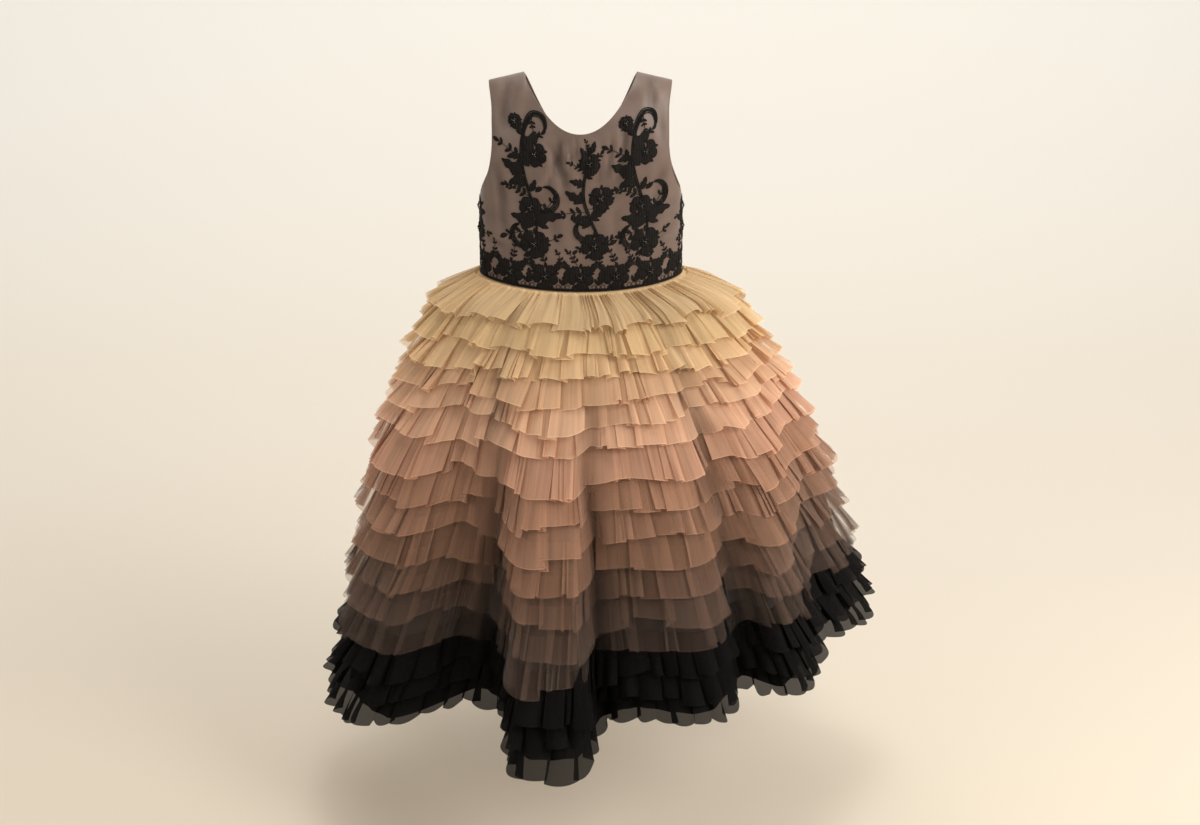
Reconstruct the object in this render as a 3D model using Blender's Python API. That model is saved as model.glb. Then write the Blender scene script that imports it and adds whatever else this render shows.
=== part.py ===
"""Ball gown for a girl: a sleeveless satin bodice with black corded lace and a full skirt of gathered tulle.

Metres, +Z up. The front faces -Y. The origin is midway between the tops of the two shoulder straps,
where the wearer holds the gown up. The gown keeps its filled-out form and is hollow inside.
"""

import math

import bmesh
import bpy
import numpy as np
from mathutils import geometry

# Driving dimensions
WAIST_DROP = 0.261  # shoulder top to waist seam at the side
WAIST_DIP = 0.013  # the waist seam lies this much lower at the centre front
WAIST_HALF_WIDTH = 0.1325
WAIST_HALF_DEPTH = 0.062
CHEST_HALF_WIDTH = 0.1306
CHEST_DEPTH = 0.058
UNDERARM_DROP = 0.153
NECK_HALF_WIDTH = 0.073
NECK_DROP_FRONT = 0.071
NECK_DROP_BACK = 0.105
NECK_ROUNDNESS = 2.1
SHOULDER_SLOPE = 0.010
SHOULDER_CURVE = 0.110  # height over which the strap bends over the shoulder
BODY_SQUARENESS = 2.4  # 2 is an ellipse, more is flatter at the front

SATIN = 0.0015
TULLE = 0.0010
LACE = 0.0010
SEAM_GAP = 0.0003
LACE_GAP = 0.0007  # chords of the lace dip towards the panel by up to half of this
BACK_OPENING = 0.0006  # between the two back panels, over the zip

PANEL_ROWS = 9
NECK_COLUMNS = (81, 72, 64, 58, 55)  # degrees from the side seam, between the centre and the strap
STRAP_COLUMNS = (45, 36, 27, 18, 9, 0)
SKIRT_COLUMNS = 72

# Outer edge of the armhole: height and half width
ARMHOLE = np.array(
    [
        (-0.153, 0.1306),
        (-0.133, 0.1215),
        (-0.119, 0.1170),
        (-0.084, 0.1125),
        (-0.045, 0.1120),
        (-0.010, 0.1165),
    ],
    dtype=[("height", float), ("half_width", float)],
)

# Base skirt at the side and at the front, from the waist seam down. Fold is the share of the large
# folds, dip of the waist seam's dip, and sway is how far the middle lies to the wearer's left.
SKIRT = np.array(
    [
        (-WAIST_DROP - SEAM_GAP, WAIST_HALF_WIDTH, WAIST_HALF_DEPTH, 0.00, 1.0, 0.000),
        (-0.2900, 0.1760, 0.104, 0.02, 0.8, 0.006),
        (-0.3500, 0.2120, 0.145, 0.12, 0.4, 0.007),
        (-0.4400, 0.2560, 0.205, 0.38, 0.1, 0.010),
        (-0.5800, 0.3020, 0.272, 0.70, 0.0, 0.018),
        (-0.8030, 0.3520, 0.344, 1.00, 0.0, 0.026),
    ],
    dtype=[(n, float) for n in ("height", "half_width", "half_depth", "fold", "dip", "sway")],
)

# Large folds round the hem: angle from +X, reach as a share of the full skirt, lift of the hem
FOLDS = np.array(
    [
        (-180, 1.00, -0.030),
        (-160, 1.01, -0.022),
        (-145, 0.98, -0.018),
        (-130, 0.69, 0.020),
        (-120, 0.72, 0.016),
        (-115, 0.75, 0.010),
        (-105, 0.98, -0.006),
        (-95, 0.95, -0.004),
        (-90, 0.76, 0.018),
        (-80, 0.78, 0.034),
        (-65, 0.90, 0.036),
        (-50, 0.81, 0.054),
        (-45, 0.94, 0.046),
        (-35, 0.91, 0.052),
        (-25, 0.86, 0.068),
        (-15, 0.90, 0.066),
        (5, 1.02, 0.052),
        (25, 0.84, 0.050),
        (40, 1.00, 0.030),
        (55, 0.76, 0.035),
        (75, 1.00, 0.012),
        (90, 0.80, 0.022),
        (105, 1.00, 0.000),
        (125, 0.78, 0.006),
        (140, 1.00, -0.020),
        (160, 0.86, -0.014),
        (180, 1.00, -0.030),
    ],
    dtype=[("angle", float), ("reach", float), ("lift", float)],
)

# Ruffles from the waist down: height of the lower edge on the base skirt, how far that edge stands
# off, and the turn of its waves
TIERS = np.array(
    [
        ("tier_01", -0.2980, 0.0210, 0.0),
        ("tier_02", -0.3300, 0.0220, 0.4),
        ("tier_03", -0.3580, 0.0220, 0.1),
        ("tier_04", -0.3850, 0.0220, 0.7),
        ("tier_05", -0.4140, 0.0220, 0.3),
        ("tier_06", -0.4460, 0.0220, 0.9),
        ("tier_07", -0.4870, 0.0220, 0.2),
        ("tier_08", -0.5260, 0.0220, 0.6),
        ("tier_09", -0.5640, 0.0220, 0.0),
        ("tier_10", -0.6020, 0.0220, 0.5),
        ("tier_11", -0.6380, 0.0220, 0.8),
        ("tier_12", -0.6750, 0.0220, 0.2),
        ("tier_13", -0.7140, 0.0220, 0.6),
        ("hem_black_1", -0.7480, 0.0220, 0.1),
        ("hem_black_2", -0.7790, 0.0220, 0.7),
        ("hem_black_3", -0.8120, 0.0220, 0.4),
    ],
    dtype=[("name", "U16"), ("bottom", float), ("stand_off", float), ("turn", float)],
)
FIRST_TOP = -0.2640  # the upper ruffle starts just under the waist seam
RUFFLE_COVER = 0.56  # how far a ruffle starts above the edge over it, as a share of the step between them
WAVE_HEIGHT = 0.0065
WAVE_SHAPE = (1.0, 0.9, 0.0, -1.0, -0.9, 0.1)  # one wave of the lower edge, column by column

# Lace motifs, laid out flat: across from the motif's middle line and up from the waist seam
STEMS = {
    "branch": [
        (-0.004, 0.0410),
        (0.006, 0.068),
        (0.006, 0.098),
        (-0.004, 0.130),
        (-0.012, 0.164),
        (-0.011, 0.196),
        (-0.003, 0.218),
        (0.007, 0.227),
        (0.016, 0.222),
        (0.019, 0.210),
    ],
    "centre": [
        (0.010, 0.0410),
        (0.014, 0.066),
        (0.004, 0.092),
        (-0.006, 0.122),
        (-0.004, 0.152),
        (0.002, 0.186),
    ],
    "side": [(0.000, 0.0410), (0.005, 0.060), (-0.003, 0.082), (0.000, 0.098)],
    "back": [(0.000, 0.0410), (0.007, 0.064), (-0.004, 0.094), (0.003, 0.126), (0.014, 0.142)],
}
STEM_WIDTH = 0.0045
FLOWERS = np.array(
    [
        ("branch", 0.004, 0.060, 0.0190),
        ("branch", -0.001, 0.107, 0.0150),
        ("branch", 0.005, 0.176, 0.0160),
        ("branch", -0.021, 0.214, 0.0095),
        ("centre", 0.008, 0.060, 0.0180),
        ("centre", 0.017, 0.122, 0.0160),
        ("centre", 0.002, 0.167, 0.0140),
        ("side", 0.003, 0.061, 0.0185),
        ("side", -0.001, 0.089, 0.0140),
        ("back", 0.003, 0.060, 0.0185),
        ("back", -0.006, 0.104, 0.0160),
    ],
    dtype=[("motif", "U8"), ("across", float), ("up", float), ("radius", float)],
)
# Leaves and scrolls grow from the stem: up is the height of their root on it
LEAVES = np.array(
    [
        ("branch", 0.086, 165, 0.034),
        ("branch", 0.090, 14, 0.036),
        ("branch", 0.142, 198, 0.024),
        ("branch", 0.150, 156, 0.034),
        ("branch", 0.184, 38, 0.030),
        ("branch", 0.199, 122, 0.019),
        ("centre", 0.090, 168, 0.028),
        ("centre", 0.096, 28, 0.024),
        ("centre", 0.118, 152, 0.028),
        ("centre", 0.180, 62, 0.017),
        ("side", 0.070, 160, 0.026),
        ("side", 0.076, 22, 0.026),
        ("back", 0.070, 28, 0.030),
        ("back", 0.080, 160, 0.030),
        ("back", 0.120, 140, 0.028),
    ],
    dtype=[("motif", "U8"), ("up", float), ("lean", float), ("length", float)],
)
LEAF_SLIMNESS = 0.42
SCROLLS = np.array(
    [
        ("branch", 0.112, 0.018, -150, 250),
        ("branch", 0.062, 0.017, -35, -215),
        ("centre", 0.078, 0.014, -20, -220),
        ("back", 0.094, 0.016, -160, 235),
    ],
    dtype=[("motif", "U8"), ("up", float), ("radius", float), ("start", float), ("sweep", float)],
)
SCROLL_WIDTH = 0.0048
BAND_WIDTH = 0.0036  # corded edge along the waist seam
BAND_FLOWER = 0.017
BAND_FLOWER_UP = 0.019
BAND_PITCH = 0.044
BAND_ARCH_UP = 0.034  # cords that join the flowers of the waist band
FULL_PETAL = ((0.0, 0.62), (0.30, 1.0), (0.70, 1.0))  # share of the petal's angle, and of the radius
PLAIN_PETAL = ((0.0, 0.62), (0.5, 1.0))

# Where the motifs lie: motif, distance round the body from the centre front
PLACES = np.array(
    [
        ("lace_branch_left", "branch", -0.064),
        ("lace_branch_centre", "centre", 0.010),
        ("lace_branch_right", "branch", 0.080),
        ("lace_side_left", "side", -0.157),
        ("lace_side_right", "side", 0.160),
        ("lace_branch_back_left", "back", -0.245),
        ("lace_branch_back_right", "back", 0.245),
    ],
    dtype=[("name", "U24"), ("motif", "U8"), ("round", float)],
)

# Finishes: red, green, blue, roughness, metallic
FINISHES = {
    "satin": (0.200, 0.142, 0.115, 0.55, 0.0),
    "lace": (0.010, 0.008, 0.008, 0.70, 0.0),
    "zip_tape": (0.160, 0.115, 0.095, 0.80, 0.0),
    "zip_metal": (0.200, 0.180, 0.165, 0.35, 0.9),
    "yellow": (0.620, 0.410, 0.190, 0.85, 0.0),
    "peach": (0.560, 0.320, 0.190, 0.85, 0.0),
    "blush": (0.500, 0.290, 0.190, 0.85, 0.0),
    "nude": (0.300, 0.180, 0.120, 0.85, 0.0),
    "dusk": (0.090, 0.060, 0.048, 0.85, 0.0),
    "black": (0.008, 0.007, 0.007, 0.85, 0.0),
}


# Helpers
def clear_scene():
    for item in list(bpy.data.objects):
        bpy.data.objects.remove(item, do_unlink=True)


def material(name):
    """A Principled material in one of the gown's finishes, made once."""
    made = bpy.data.materials.get(name)
    if made:
        return made
    red, green, blue, roughness, metallic = FINISHES[name]
    made = bpy.data.materials.new(name)
    made.use_nodes = True
    shader = made.node_tree.nodes["Principled BSDF"]
    shader.inputs["Base Color"].default_value = (red, green, blue, 1.0)
    shader.inputs["Roughness"].default_value = roughness
    shader.inputs["Metallic"].default_value = metallic
    return made


def solid(name, points, faces, finish):
    """One named object from points and faces."""
    mesh = bpy.data.meshes.new(name)
    mesh.from_pydata([tuple(p) for p in points], [], faces)
    mesh.validate()
    return show(name, mesh, finish)


def show(name, mesh, finish):
    """An object of a mesh, in the scene and with its finish."""
    mesh.materials.append(material(finish))
    made = bpy.data.objects.new(name, mesh)
    bpy.context.scene.collection.objects.link(made)
    return made


def unit(vectors):
    length = np.linalg.norm(vectors, axis=-1, keepdims=True)
    return vectors / np.maximum(length, 1e-12)


def grid_normals(grid, closed):
    """Outward normals of a grid whose rows run down and whose columns run anticlockwise from above."""
    down = np.gradient(grid, axis=0)
    if closed:
        across = np.roll(grid, -1, axis=1) - np.roll(grid, 1, axis=1)
    else:
        across = np.gradient(grid, axis=1)
    return unit(np.cross(down, across))


def cloth_wall(name, grid, thickness, finish, closed=False, normals=None):
    """A closed wall of even thickness round a grid of points, open or closed into a tube."""
    if normals is None:
        normals = grid_normals(grid, closed)
    rows, columns = grid.shape[:2]
    outer = (grid + normals * thickness / 2).reshape(-1, 3)
    inner = (grid - normals * thickness / 2).reshape(-1, 3)
    inside = rows * columns

    def quad(a, b, c, d):
        return [(a, b, c), (a, c, d)]

    faces = []
    spans = columns if closed else columns - 1
    for j in range(spans):
        k = (j + 1) % columns
        for i in range(rows - 1):
            a, b = i * columns + j, (i + 1) * columns + j
            c, d = (i + 1) * columns + k, i * columns + k
            faces += quad(a, b, c, d)
            faces += [(inside + a, inside + c, inside + b), (inside + a, inside + d, inside + c)]
        last = (rows - 1) * columns
        faces += quad(inside + j, j, k, inside + k)
        faces += quad(last + j, inside + last + j, inside + last + k, last + k)
    if not closed:
        for i in range(rows - 1):
            a, b = i * columns, (i + 1) * columns
            c, d = a + columns - 1, b + columns - 1
            faces += quad(inside + a, inside + b, b, a)
            faces += quad(c, d, inside + d, inside + c)
    return solid(name, np.vstack([outer, inner]), faces, finish)


# Bodice form
def waist_height(x):
    """Height of the waist seam, which dips at the centre front."""
    return -WAIST_DROP - WAIST_DIP * max(0.0, 1 - (x / WAIST_HALF_WIDTH) ** 2)


def body_half_width(height):
    share = min(1.0, max(0.0, (height + WAIST_DROP) / (WAIST_DROP - UNDERARM_DROP)))
    return WAIST_HALF_WIDTH + (CHEST_HALF_WIDTH - WAIST_HALF_WIDTH) * share


def edge_half_width(height):
    """Half width of a panel: the side seam below the underarm, the armhole above it."""
    if height <= -UNDERARM_DROP:
        return body_half_width(height)
    return float(np.interp(height, ARMHOLE["height"], ARMHOLE["half_width"]))


def shoulder_line(x):
    beyond = max(0.0, abs(x) - NECK_HALF_WIDTH)
    strap = float(ARMHOLE["half_width"][-1]) - NECK_HALF_WIDTH
    return -SHOULDER_SLOPE * beyond / strap


def body_point(x, height, side):
    """Point of the bodice's middle surface; side is -1 for the front and 1 for the back."""
    below = min(SHOULDER_CURVE, max(0.0, shoulder_line(x) - height))
    bend = math.sqrt(max(0.0, 1 - ((SHOULDER_CURVE - below) / SHOULDER_CURVE) ** 2))
    share = min(1.0, max(0.0, (height + WAIST_DROP) / (WAIST_DROP - UNDERARM_DROP)))
    depth = (WAIST_HALF_DEPTH + (CHEST_DEPTH - WAIST_HALF_DEPTH) * share) * bend
    across = min(1.0, abs(x) / body_half_width(height))
    section = (1 - across**BODY_SQUARENESS) ** (1 / BODY_SQUARENESS)
    return (x, side * (depth * section + SEAM_GAP / 2), height)


def column_share(angle):
    """Share of the half width at an angle from the side seam, on the squared-off body."""
    along, across = abs(math.cos(angle)), abs(math.sin(angle))
    size = (along**BODY_SQUARENESS + across**BODY_SQUARENESS) ** (1 / BODY_SQUARENESS)
    return math.copysign(along / size, math.cos(angle))


STRAP_SHARE = NECK_HALF_WIDTH / float(ARMHOLE["half_width"][-1])


def half_columns():
    """Shares of the half width from the centre to the side, with one column at the neck's end."""
    before = [column_share(math.radians(angle)) for angle in NECK_COLUMNS]
    after = [column_share(math.radians(angle)) for angle in STRAP_COLUMNS]
    return [0.0] + before + [STRAP_SHARE] + after


def top_height(share, neck_drop):
    """Where a column ends: at the shoulder seam, or at the neckline."""
    share = abs(share)
    strap_edge = float(ARMHOLE["half_width"][-1])
    if share >= STRAP_SHARE:
        return shoulder_line(share * strap_edge)
    low, high = -neck_drop, 0.0
    for _ in range(40):
        middle = (low + high) / 2
        x = share * edge_half_width(middle)
        neckline = -neck_drop * (1 - min(1.0, x / NECK_HALF_WIDTH) ** NECK_ROUNDNESS)
        if neckline > middle:
            low = middle
        else:
            high = middle
    return (low + high) / 2


def panel_grid(shares, side, neck_drop):
    """Rows from the neck and shoulder to the waist, columns by share of the half width."""
    grid = np.zeros((PANEL_ROWS + 1, len(shares), 3))
    for j, share in enumerate(shares):
        top = top_height(share, neck_drop)
        bottom = waist_height(share * WAIST_HALF_WIDTH)
        for i in range(PANEL_ROWS + 1):
            fall = 1 - math.sin(math.pi / 2 * (1 - i / PANEL_ROWS))
            height = top + (bottom - top) * fall
            grid[i, j] = body_point(share * edge_half_width(height), height, side)
    return grid


def panel_normals(grid, shares):
    """Normals that stay in the seam's own plane at the shoulder, side and centre back."""
    normals = grid_normals(grid, closed=False)
    for j, share in enumerate(shares):
        if abs(share) >= STRAP_SHARE - 1e-9:
            normals[0, j] = (0, 0, 1)
        if abs(abs(share) - 1) < 1e-9:
            below = grid[:, j, 2] <= -UNDERARM_DROP
            normals[below, j, 1] = 0
        if share == 0 and j in (0, len(shares) - 1):
            normals[:, j, 0] = 0
    for j, share in enumerate(shares[:-1]):
        if abs(shares[j + 1]) == STRAP_SHARE and abs(share) < STRAP_SHARE:
            normals[0, j] += (0, 0, 1)
        if abs(share) == STRAP_SHARE and abs(shares[j + 1]) < STRAP_SHARE:
            normals[0, j + 1] += (0, 0, 1)
    return unit(normals)


def make_bodice():
    half = half_columns()
    front = [-share for share in half[:0:-1]] + half
    grid = panel_grid(front, -1, NECK_DROP_FRONT)
    cloth_wall("bodice_front", grid, SATIN, "satin", normals=panel_normals(grid, front))
    for name, shares, shift in (
        ("bodice_back_right", half[::-1], BACK_OPENING / 2),
        ("bodice_back_left", [-share for share in half], -BACK_OPENING / 2),
    ):
        grid = panel_grid(shares, 1, NECK_DROP_BACK)
        normals = panel_normals(grid, shares)
        centre = shares.index(0)
        grid[:, centre, 0] = shift
        cloth_wall(name, grid, SATIN, "satin", normals=normals)


# Lace
def girth_table():
    """Angle from the centre front, and the distance round the body to it, half way round."""
    angles = np.linspace(0, math.pi, 361)
    power = BODY_SQUARENESS
    size = (np.abs(np.sin(angles)) ** power + np.abs(np.cos(angles)) ** power) ** (1 / power)
    x = WAIST_HALF_WIDTH * np.sin(angles) / size
    y = WAIST_HALF_DEPTH * np.cos(angles) / size
    return angles, np.concatenate([[0], np.cumsum(np.hypot(np.diff(x), np.diff(y)))])


GIRTH_ANGLES, GIRTH = girth_table()


def lace_point(around, up):
    """Point of the bodice's middle surface, around from the centre front and up from the waist."""
    angle = math.copysign(float(np.interp(abs(around), GIRTH, GIRTH_ANGLES)), around)
    power = BODY_SQUARENESS
    size = (abs(math.sin(angle)) ** power + abs(math.cos(angle)) ** power) ** (1 / power)
    share = math.sin(angle) / size
    height = waist_height(share * WAIST_HALF_WIDTH) + up
    side = -1 if math.cos(angle) > 0 else 1
    return np.array(body_point(share * body_half_width(height), height, side))


def lace_place(around, up, off):
    """Point at a distance off the bodice's middle surface, square to it."""
    step = 0.002
    sideways = lace_point(around + step, up) - lace_point(around - step, up)
    upward = lace_point(around, up + step) - lace_point(around, up - step)
    return lace_point(around, up) + unit(np.cross(sideways, upward)) * off


def ribbon(centre, width):
    """Outline of a cord of even width along a line of points."""
    line = np.array(centre)
    along = unit(np.gradient(line, axis=0))
    beside = np.stack([-along[:, 1], along[:, 0]], axis=1) * width / 2
    return np.vstack([line + beside, (line - beside)[::-1]])


def flower(across, up, radius, petal_shape=FULL_PETAL):
    """Five petals round a middle."""
    points = []
    for petal in range(5):
        for share, reach in petal_shape:
            angle = 2 * math.pi * (petal + share) / 5 + 0.3
            points.append((across + radius * reach * math.cos(angle), up + radius * reach * math.sin(angle)))
    return np.array(points)


def stem_root(motif, up):
    """The place on a motif's stem at a height, where a leaf or scroll grows from it."""
    line = np.array(STEMS[motif])
    rising = line[: line[:, 1].argmax() + 1]
    return np.array((np.interp(up, rising[:, 1], rising[:, 0]), up))


def leaf(root, lean, length):
    """Pointed leaf from its root, leaning in degrees from straight across."""
    turn = math.radians(lean)
    along, beside = np.array((math.cos(turn), math.sin(turn))), np.array((-math.sin(turn), math.cos(turn)))
    half = length * LEAF_SLIMNESS / 2
    shape = ((0.0, 0.3), (0.45, 1.0), (1.0, 0.0), (0.45, -1.0), (0.0, -0.3))
    return np.array([root + along * length * run + beside * half * out for run, out in shape])


def scroll(root, radius, start, sweep):
    """A C-shaped cord that starts at its root and turns through an arc."""
    turns = np.radians(start + sweep * np.linspace(0, 1, 7))
    circle = radius * np.stack([np.cos(turns), np.sin(turns)], axis=1)
    return ribbon(root - circle[0] + circle, SCROLL_WIDTH)


def motif_outlines(motif):
    """The overlapping outlines that make one motif."""
    shapes = [ribbon(STEMS[motif], STEM_WIDTH)]
    for row in FLOWERS[FLOWERS["motif"] == motif]:
        shapes.append(flower(row["across"], row["up"], row["radius"]))
    for row in LEAVES[LEAVES["motif"] == motif]:
        shapes.append(leaf(stem_root(motif, row["up"]), row["lean"], row["length"]))
    for row in SCROLLS[SCROLLS["motif"] == motif]:
        shapes.append(scroll(stem_root(motif, row["up"]), row["radius"], row["start"], row["sweep"]))
    return shapes


def band_outlines(start, end):
    """The waist band between two places round the body: corded edge, flowers and joining arches."""
    count = max(1, round((end - start) / BAND_PITCH))
    pitch = (end - start) / count
    low = BAND_WIDTH / 2 + 0.0012
    line = [(start + pitch * n / 3, low) for n in range(3 * count + 1)]
    shapes = [ribbon(line, BAND_WIDTH)]
    middles = [start + pitch * (n + 0.5) for n in range(count)]
    for middle in middles:
        shapes.append(flower(middle, BAND_FLOWER_UP, BAND_FLOWER, PLAIN_PETAL))
    for near, far in zip(middles, middles[1:]):
        arch = [(near, BAND_FLOWER_UP), ((near + far) / 2, BAND_ARCH_UP), (far, BAND_FLOWER_UP)]
        shapes.append(ribbon(arch, SCROLL_WIDTH))
    return shapes


def area(points):
    x, y = points[:, 0], points[:, 1]
    return float(np.sum(x * np.roll(y, -1) - np.roll(x, -1) * y)) / 2


def union_boundary(outlines):
    """Points and edges round the union of overlapping flat outlines, and round its gaps."""
    points, faces = [], []
    for outline in outlines:
        ring = outline if area(outline) > 0 else outline[::-1]
        faces.append(list(range(len(points), len(points) + len(ring))))
        points += [tuple(p) for p in ring]
    found = geometry.delaunay_2d_cdt(points, [], faces, 1, 1e-5, True)
    spots, triangles, sources = found[0], found[2], found[5]
    uses = {}
    for triangle, source in zip(triangles, sources):
        if source:
            for a, b in zip(triangle, triangle[1:] + triangle[:1]):
                key = (min(a, b), max(a, b))
                uses[key] = uses.get(key, 0) + 1
    edges = [edge for edge, count in uses.items() if count == 1]
    return [tuple(spot) for spot in spots], edges


def inside(spot, starts, ends):
    """True if a flat spot lies in the region that the edges bound."""
    above = (starts[:, 1] > spot[1]) != (ends[:, 1] > spot[1])
    rise = np.where(above, ends[:, 1] - starts[:, 1], 1.0)
    cross = starts[:, 0] + (spot[1] - starts[:, 1]) * (ends[:, 0] - starts[:, 0]) / rise
    return bool(np.sum(above & (cross > spot[0])) % 2)


def fill_region(spots, edges, cuts):
    """Triangles of the region inside the edges, also cut along the lines in cuts."""
    used = sorted({n for edge in edges for n in edge})
    place = {old: new for new, old in enumerate(used)}
    points = [spots[n] for n in used]
    lines = [(place[a], place[b]) for a, b in edges]
    starts = np.array([points[a] for a, _ in lines])
    ends = np.array([points[b] for _, b in lines])
    low, high = min(p[1] for p in points) - 0.01, max(p[1] for p in points) + 0.01
    for cut in cuts:
        lines.append((len(points), len(points) + 1))
        points += [(cut, low), (cut, high)]
    found = geometry.delaunay_2d_cdt(points, lines, [], 0, 1e-5, False)
    spots = np.array([tuple(p) for p in found[0]])
    kept = [t for t in found[2] if inside(spots[list(t)].mean(axis=0), starts, ends)]
    return spots, kept


def make_lace(name, outlines, around, cuts=()):
    """One piece of lace, cut through between its flowers, lying on the bodice's outer face."""
    moved = [outline + (around, 0.0) for outline in outlines]
    low, high = min(o[:, 0].min() for o in moved), max(o[:, 0].max() for o in moved)
    spots, triangles = fill_region(*union_boundary(moved), [cut for cut in cuts if low < cut < high])
    used = sorted({n for triangle in triangles for n in triangle})
    place = {old: new for new, old in enumerate(used)}
    face_off = SATIN / 2 + LACE_GAP
    outer = [lace_place(*spots[n], face_off + LACE) for n in used]
    inner = [lace_place(*spots[n], face_off) for n in used]
    count = len(used)
    faces, uses = [], {}
    for triangle in triangles:
        a, b, c = (place[n] for n in triangle)
        if area(spots[list(triangle)]) < 0:
            b, c = c, b
        faces += [(a, b, c), (count + a, count + c, count + b)]
        for edge in ((a, b), (b, c), (c, a)):
            uses[edge] = True
    for a, b in uses:
        if (b, a) not in uses:
            faces += [(a, count + a, count + b), (a, count + b, b)]
    solid(name, outer + inner, faces, "lace")


def side_cuts():
    """Places round the body where the bodice's columns bend round its sides."""
    shares = [share for share in half_columns() if share > STRAP_SHARE]
    at_front = []
    for share in shares:
        across = (1 - min(1.0, share) ** BODY_SQUARENESS) ** (1 / BODY_SQUARENESS)
        at_front.append(float(np.interp(math.atan2(share, across), GIRTH_ANGLES, GIRTH)))
    at_back = [GIRTH[-1] - place for place in at_front]
    return [sign * place for sign in (-1, 1) for place in sorted(set(at_front + at_back))]


def make_all_lace():
    cuts = side_cuts()
    for row in PLACES:
        motif = str(row["motif"])
        bends = cuts if motif == "side" else ()
        make_lace(str(row["name"]), motif_outlines(motif), float(row["round"]), bends)
    side, back = GIRTH[-1] / 2, GIRTH[-1]
    clear = 2 * LACE_GAP
    for name, start, end in (
        ("lace_waist_front", -side + clear, side - clear),
        ("lace_waist_back_right", side + clear, back - 3 * clear),
        ("lace_waist_back_left", -back + 3 * clear, -side - clear),
    ):
        make_lace(name, band_outlines(start, end), 0.0, cuts)


# Zip
ZIP_HALF_WIDTH = 0.009
SLIDER_DROP = 0.014  # slider's middle below the back neckline
BAR_STAND_OFF = 0.0036  # hinge bar's middle from the panel's face
BAR_RADIUS = 0.0006
EYE_INNER = 0.0010
EYE_OUTER = 0.0018
EYE_WIDTH = 0.0030
EYE_SIDES = 12
EAR_GAP = 0.0004
EAR_WIDTH = 0.0009
SLIDER_LENGTH = 0.0080
TAB_LENGTH = 0.0180
TAB_SHOULDER = 0.0022  # below the bar, where the tab widens from the eye's width
TAB_WIDTH = 0.0050
TAB_THICKNESS = 0.0012


def back_face(height):
    """Y of the back panels' outer face at the centre back."""
    return body_point(0.0, height, 1)[1] + SATIN / 2


def make_zip_tape():
    """The tape behind the centre back opening, from the neck to just above the waist."""
    top, bottom = -NECK_DROP_BACK - 0.002, -WAIST_DROP - WAIST_DIP + 0.003
    heights = np.linspace(top, bottom, 7)
    inward = SATIN / 2 + TULLE / 2 + 2 * SEAM_GAP
    grid = np.zeros((len(heights), 3, 3))
    for i, height in enumerate(heights):
        for j, x in enumerate((ZIP_HALF_WIDTH, 0.0, -ZIP_HALF_WIDTH)):
            point = body_point(x, height, 1)
            grid[i, j] = (x, point[1] - inward, height)
    cloth_wall("zip_tape", grid, TULLE, "zip_tape")


def metal_piece(name, bm):
    """An object of a closed shape in bm, with its faces pointing out."""
    bmesh.ops.recalc_face_normals(bm, faces=bm.faces)
    mesh = bpy.data.meshes.new(name)
    bm.to_mesh(mesh)
    bm.free()
    return show(name, mesh, "zip_metal")


def metal_box(name, low, high):
    """A box with corners low and high."""
    bm = bmesh.new()
    bmesh.ops.create_cube(bm, size=1.0)
    bmesh.ops.scale(bm, vec=np.subtract(high, low), verts=bm.verts)
    bmesh.ops.translate(bm, vec=np.add(high, low) / 2, verts=bm.verts)
    return metal_piece(name, bm)


def make_zip_slider_and_pull():
    """The slider on the panels' face, and the pull tab whose eye goes round the slider's bar."""
    height = -NECK_DROP_BACK - SLIDER_DROP
    face = back_face(height) + SEAM_GAP
    bar_y = back_face(height) + BAR_STAND_OFF
    half = EYE_WIDTH / 2 + EAR_GAP + EAR_WIDTH
    plate_face = bar_y - EYE_OUTER - SEAM_GAP
    low = (-half, face, height - SLIDER_LENGTH / 2)
    slider = metal_box("zip_slider", low, (half, plate_face, height + SLIDER_LENGTH / 2))
    ear = 2 * BAR_RADIUS
    for x in (-half, half - EAR_WIDTH):
        low = (x, (face + plate_face) / 2, height - ear)
        join_by_boolean(slider, metal_box("slider_ear", low, (x + EAR_WIDTH, bar_y + ear, height + ear)))
    reach = half - EAR_WIDTH / 2
    low = (-reach, bar_y - BAR_RADIUS, height - BAR_RADIUS)
    join_by_boolean(slider, metal_box("slider_bar", low, (reach, bar_y + BAR_RADIUS, height + BAR_RADIUS)))
    make_pull(bar_y, height)


def join_by_boolean(target, tool):
    """Unites tool with target and removes tool."""
    union = target.modifiers.new("union", "BOOLEAN")
    union.operation = "UNION"
    union.solver = "EXACT"
    union.object = tool
    depsgraph = bpy.context.evaluated_depsgraph_get()
    joined = bpy.data.meshes.new_from_object(target.evaluated_get(depsgraph))
    target.modifiers.clear()
    target.data = joined
    bpy.data.objects.remove(tool, do_unlink=True)


def make_eye(bar_y, height):
    """Short tube round the bar's axis."""
    bm = bmesh.new()
    rings = []
    for x in (-EYE_WIDTH / 2, EYE_WIDTH / 2):
        for radius in (EYE_INNER, EYE_OUTER):
            ring = []
            for n in range(EYE_SIDES):
                angle = 2 * math.pi * (n + 0.5) / EYE_SIDES
                y, z = bar_y + radius * math.sin(angle), height + radius * math.cos(angle)
                ring.append(bm.verts.new((x, y, z)))
            rings.append(ring)
    near_in, near_out, far_in, far_out = rings
    for one, other in ((near_in, near_out), (far_in, far_out), (near_in, far_in), (near_out, far_out)):
        for n in range(EYE_SIDES):
            m = (n + 1) % EYE_SIDES
            bm.faces.new((one[n], one[m], other[m], other[n]))
    return metal_piece("zip_pull", bm)


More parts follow.
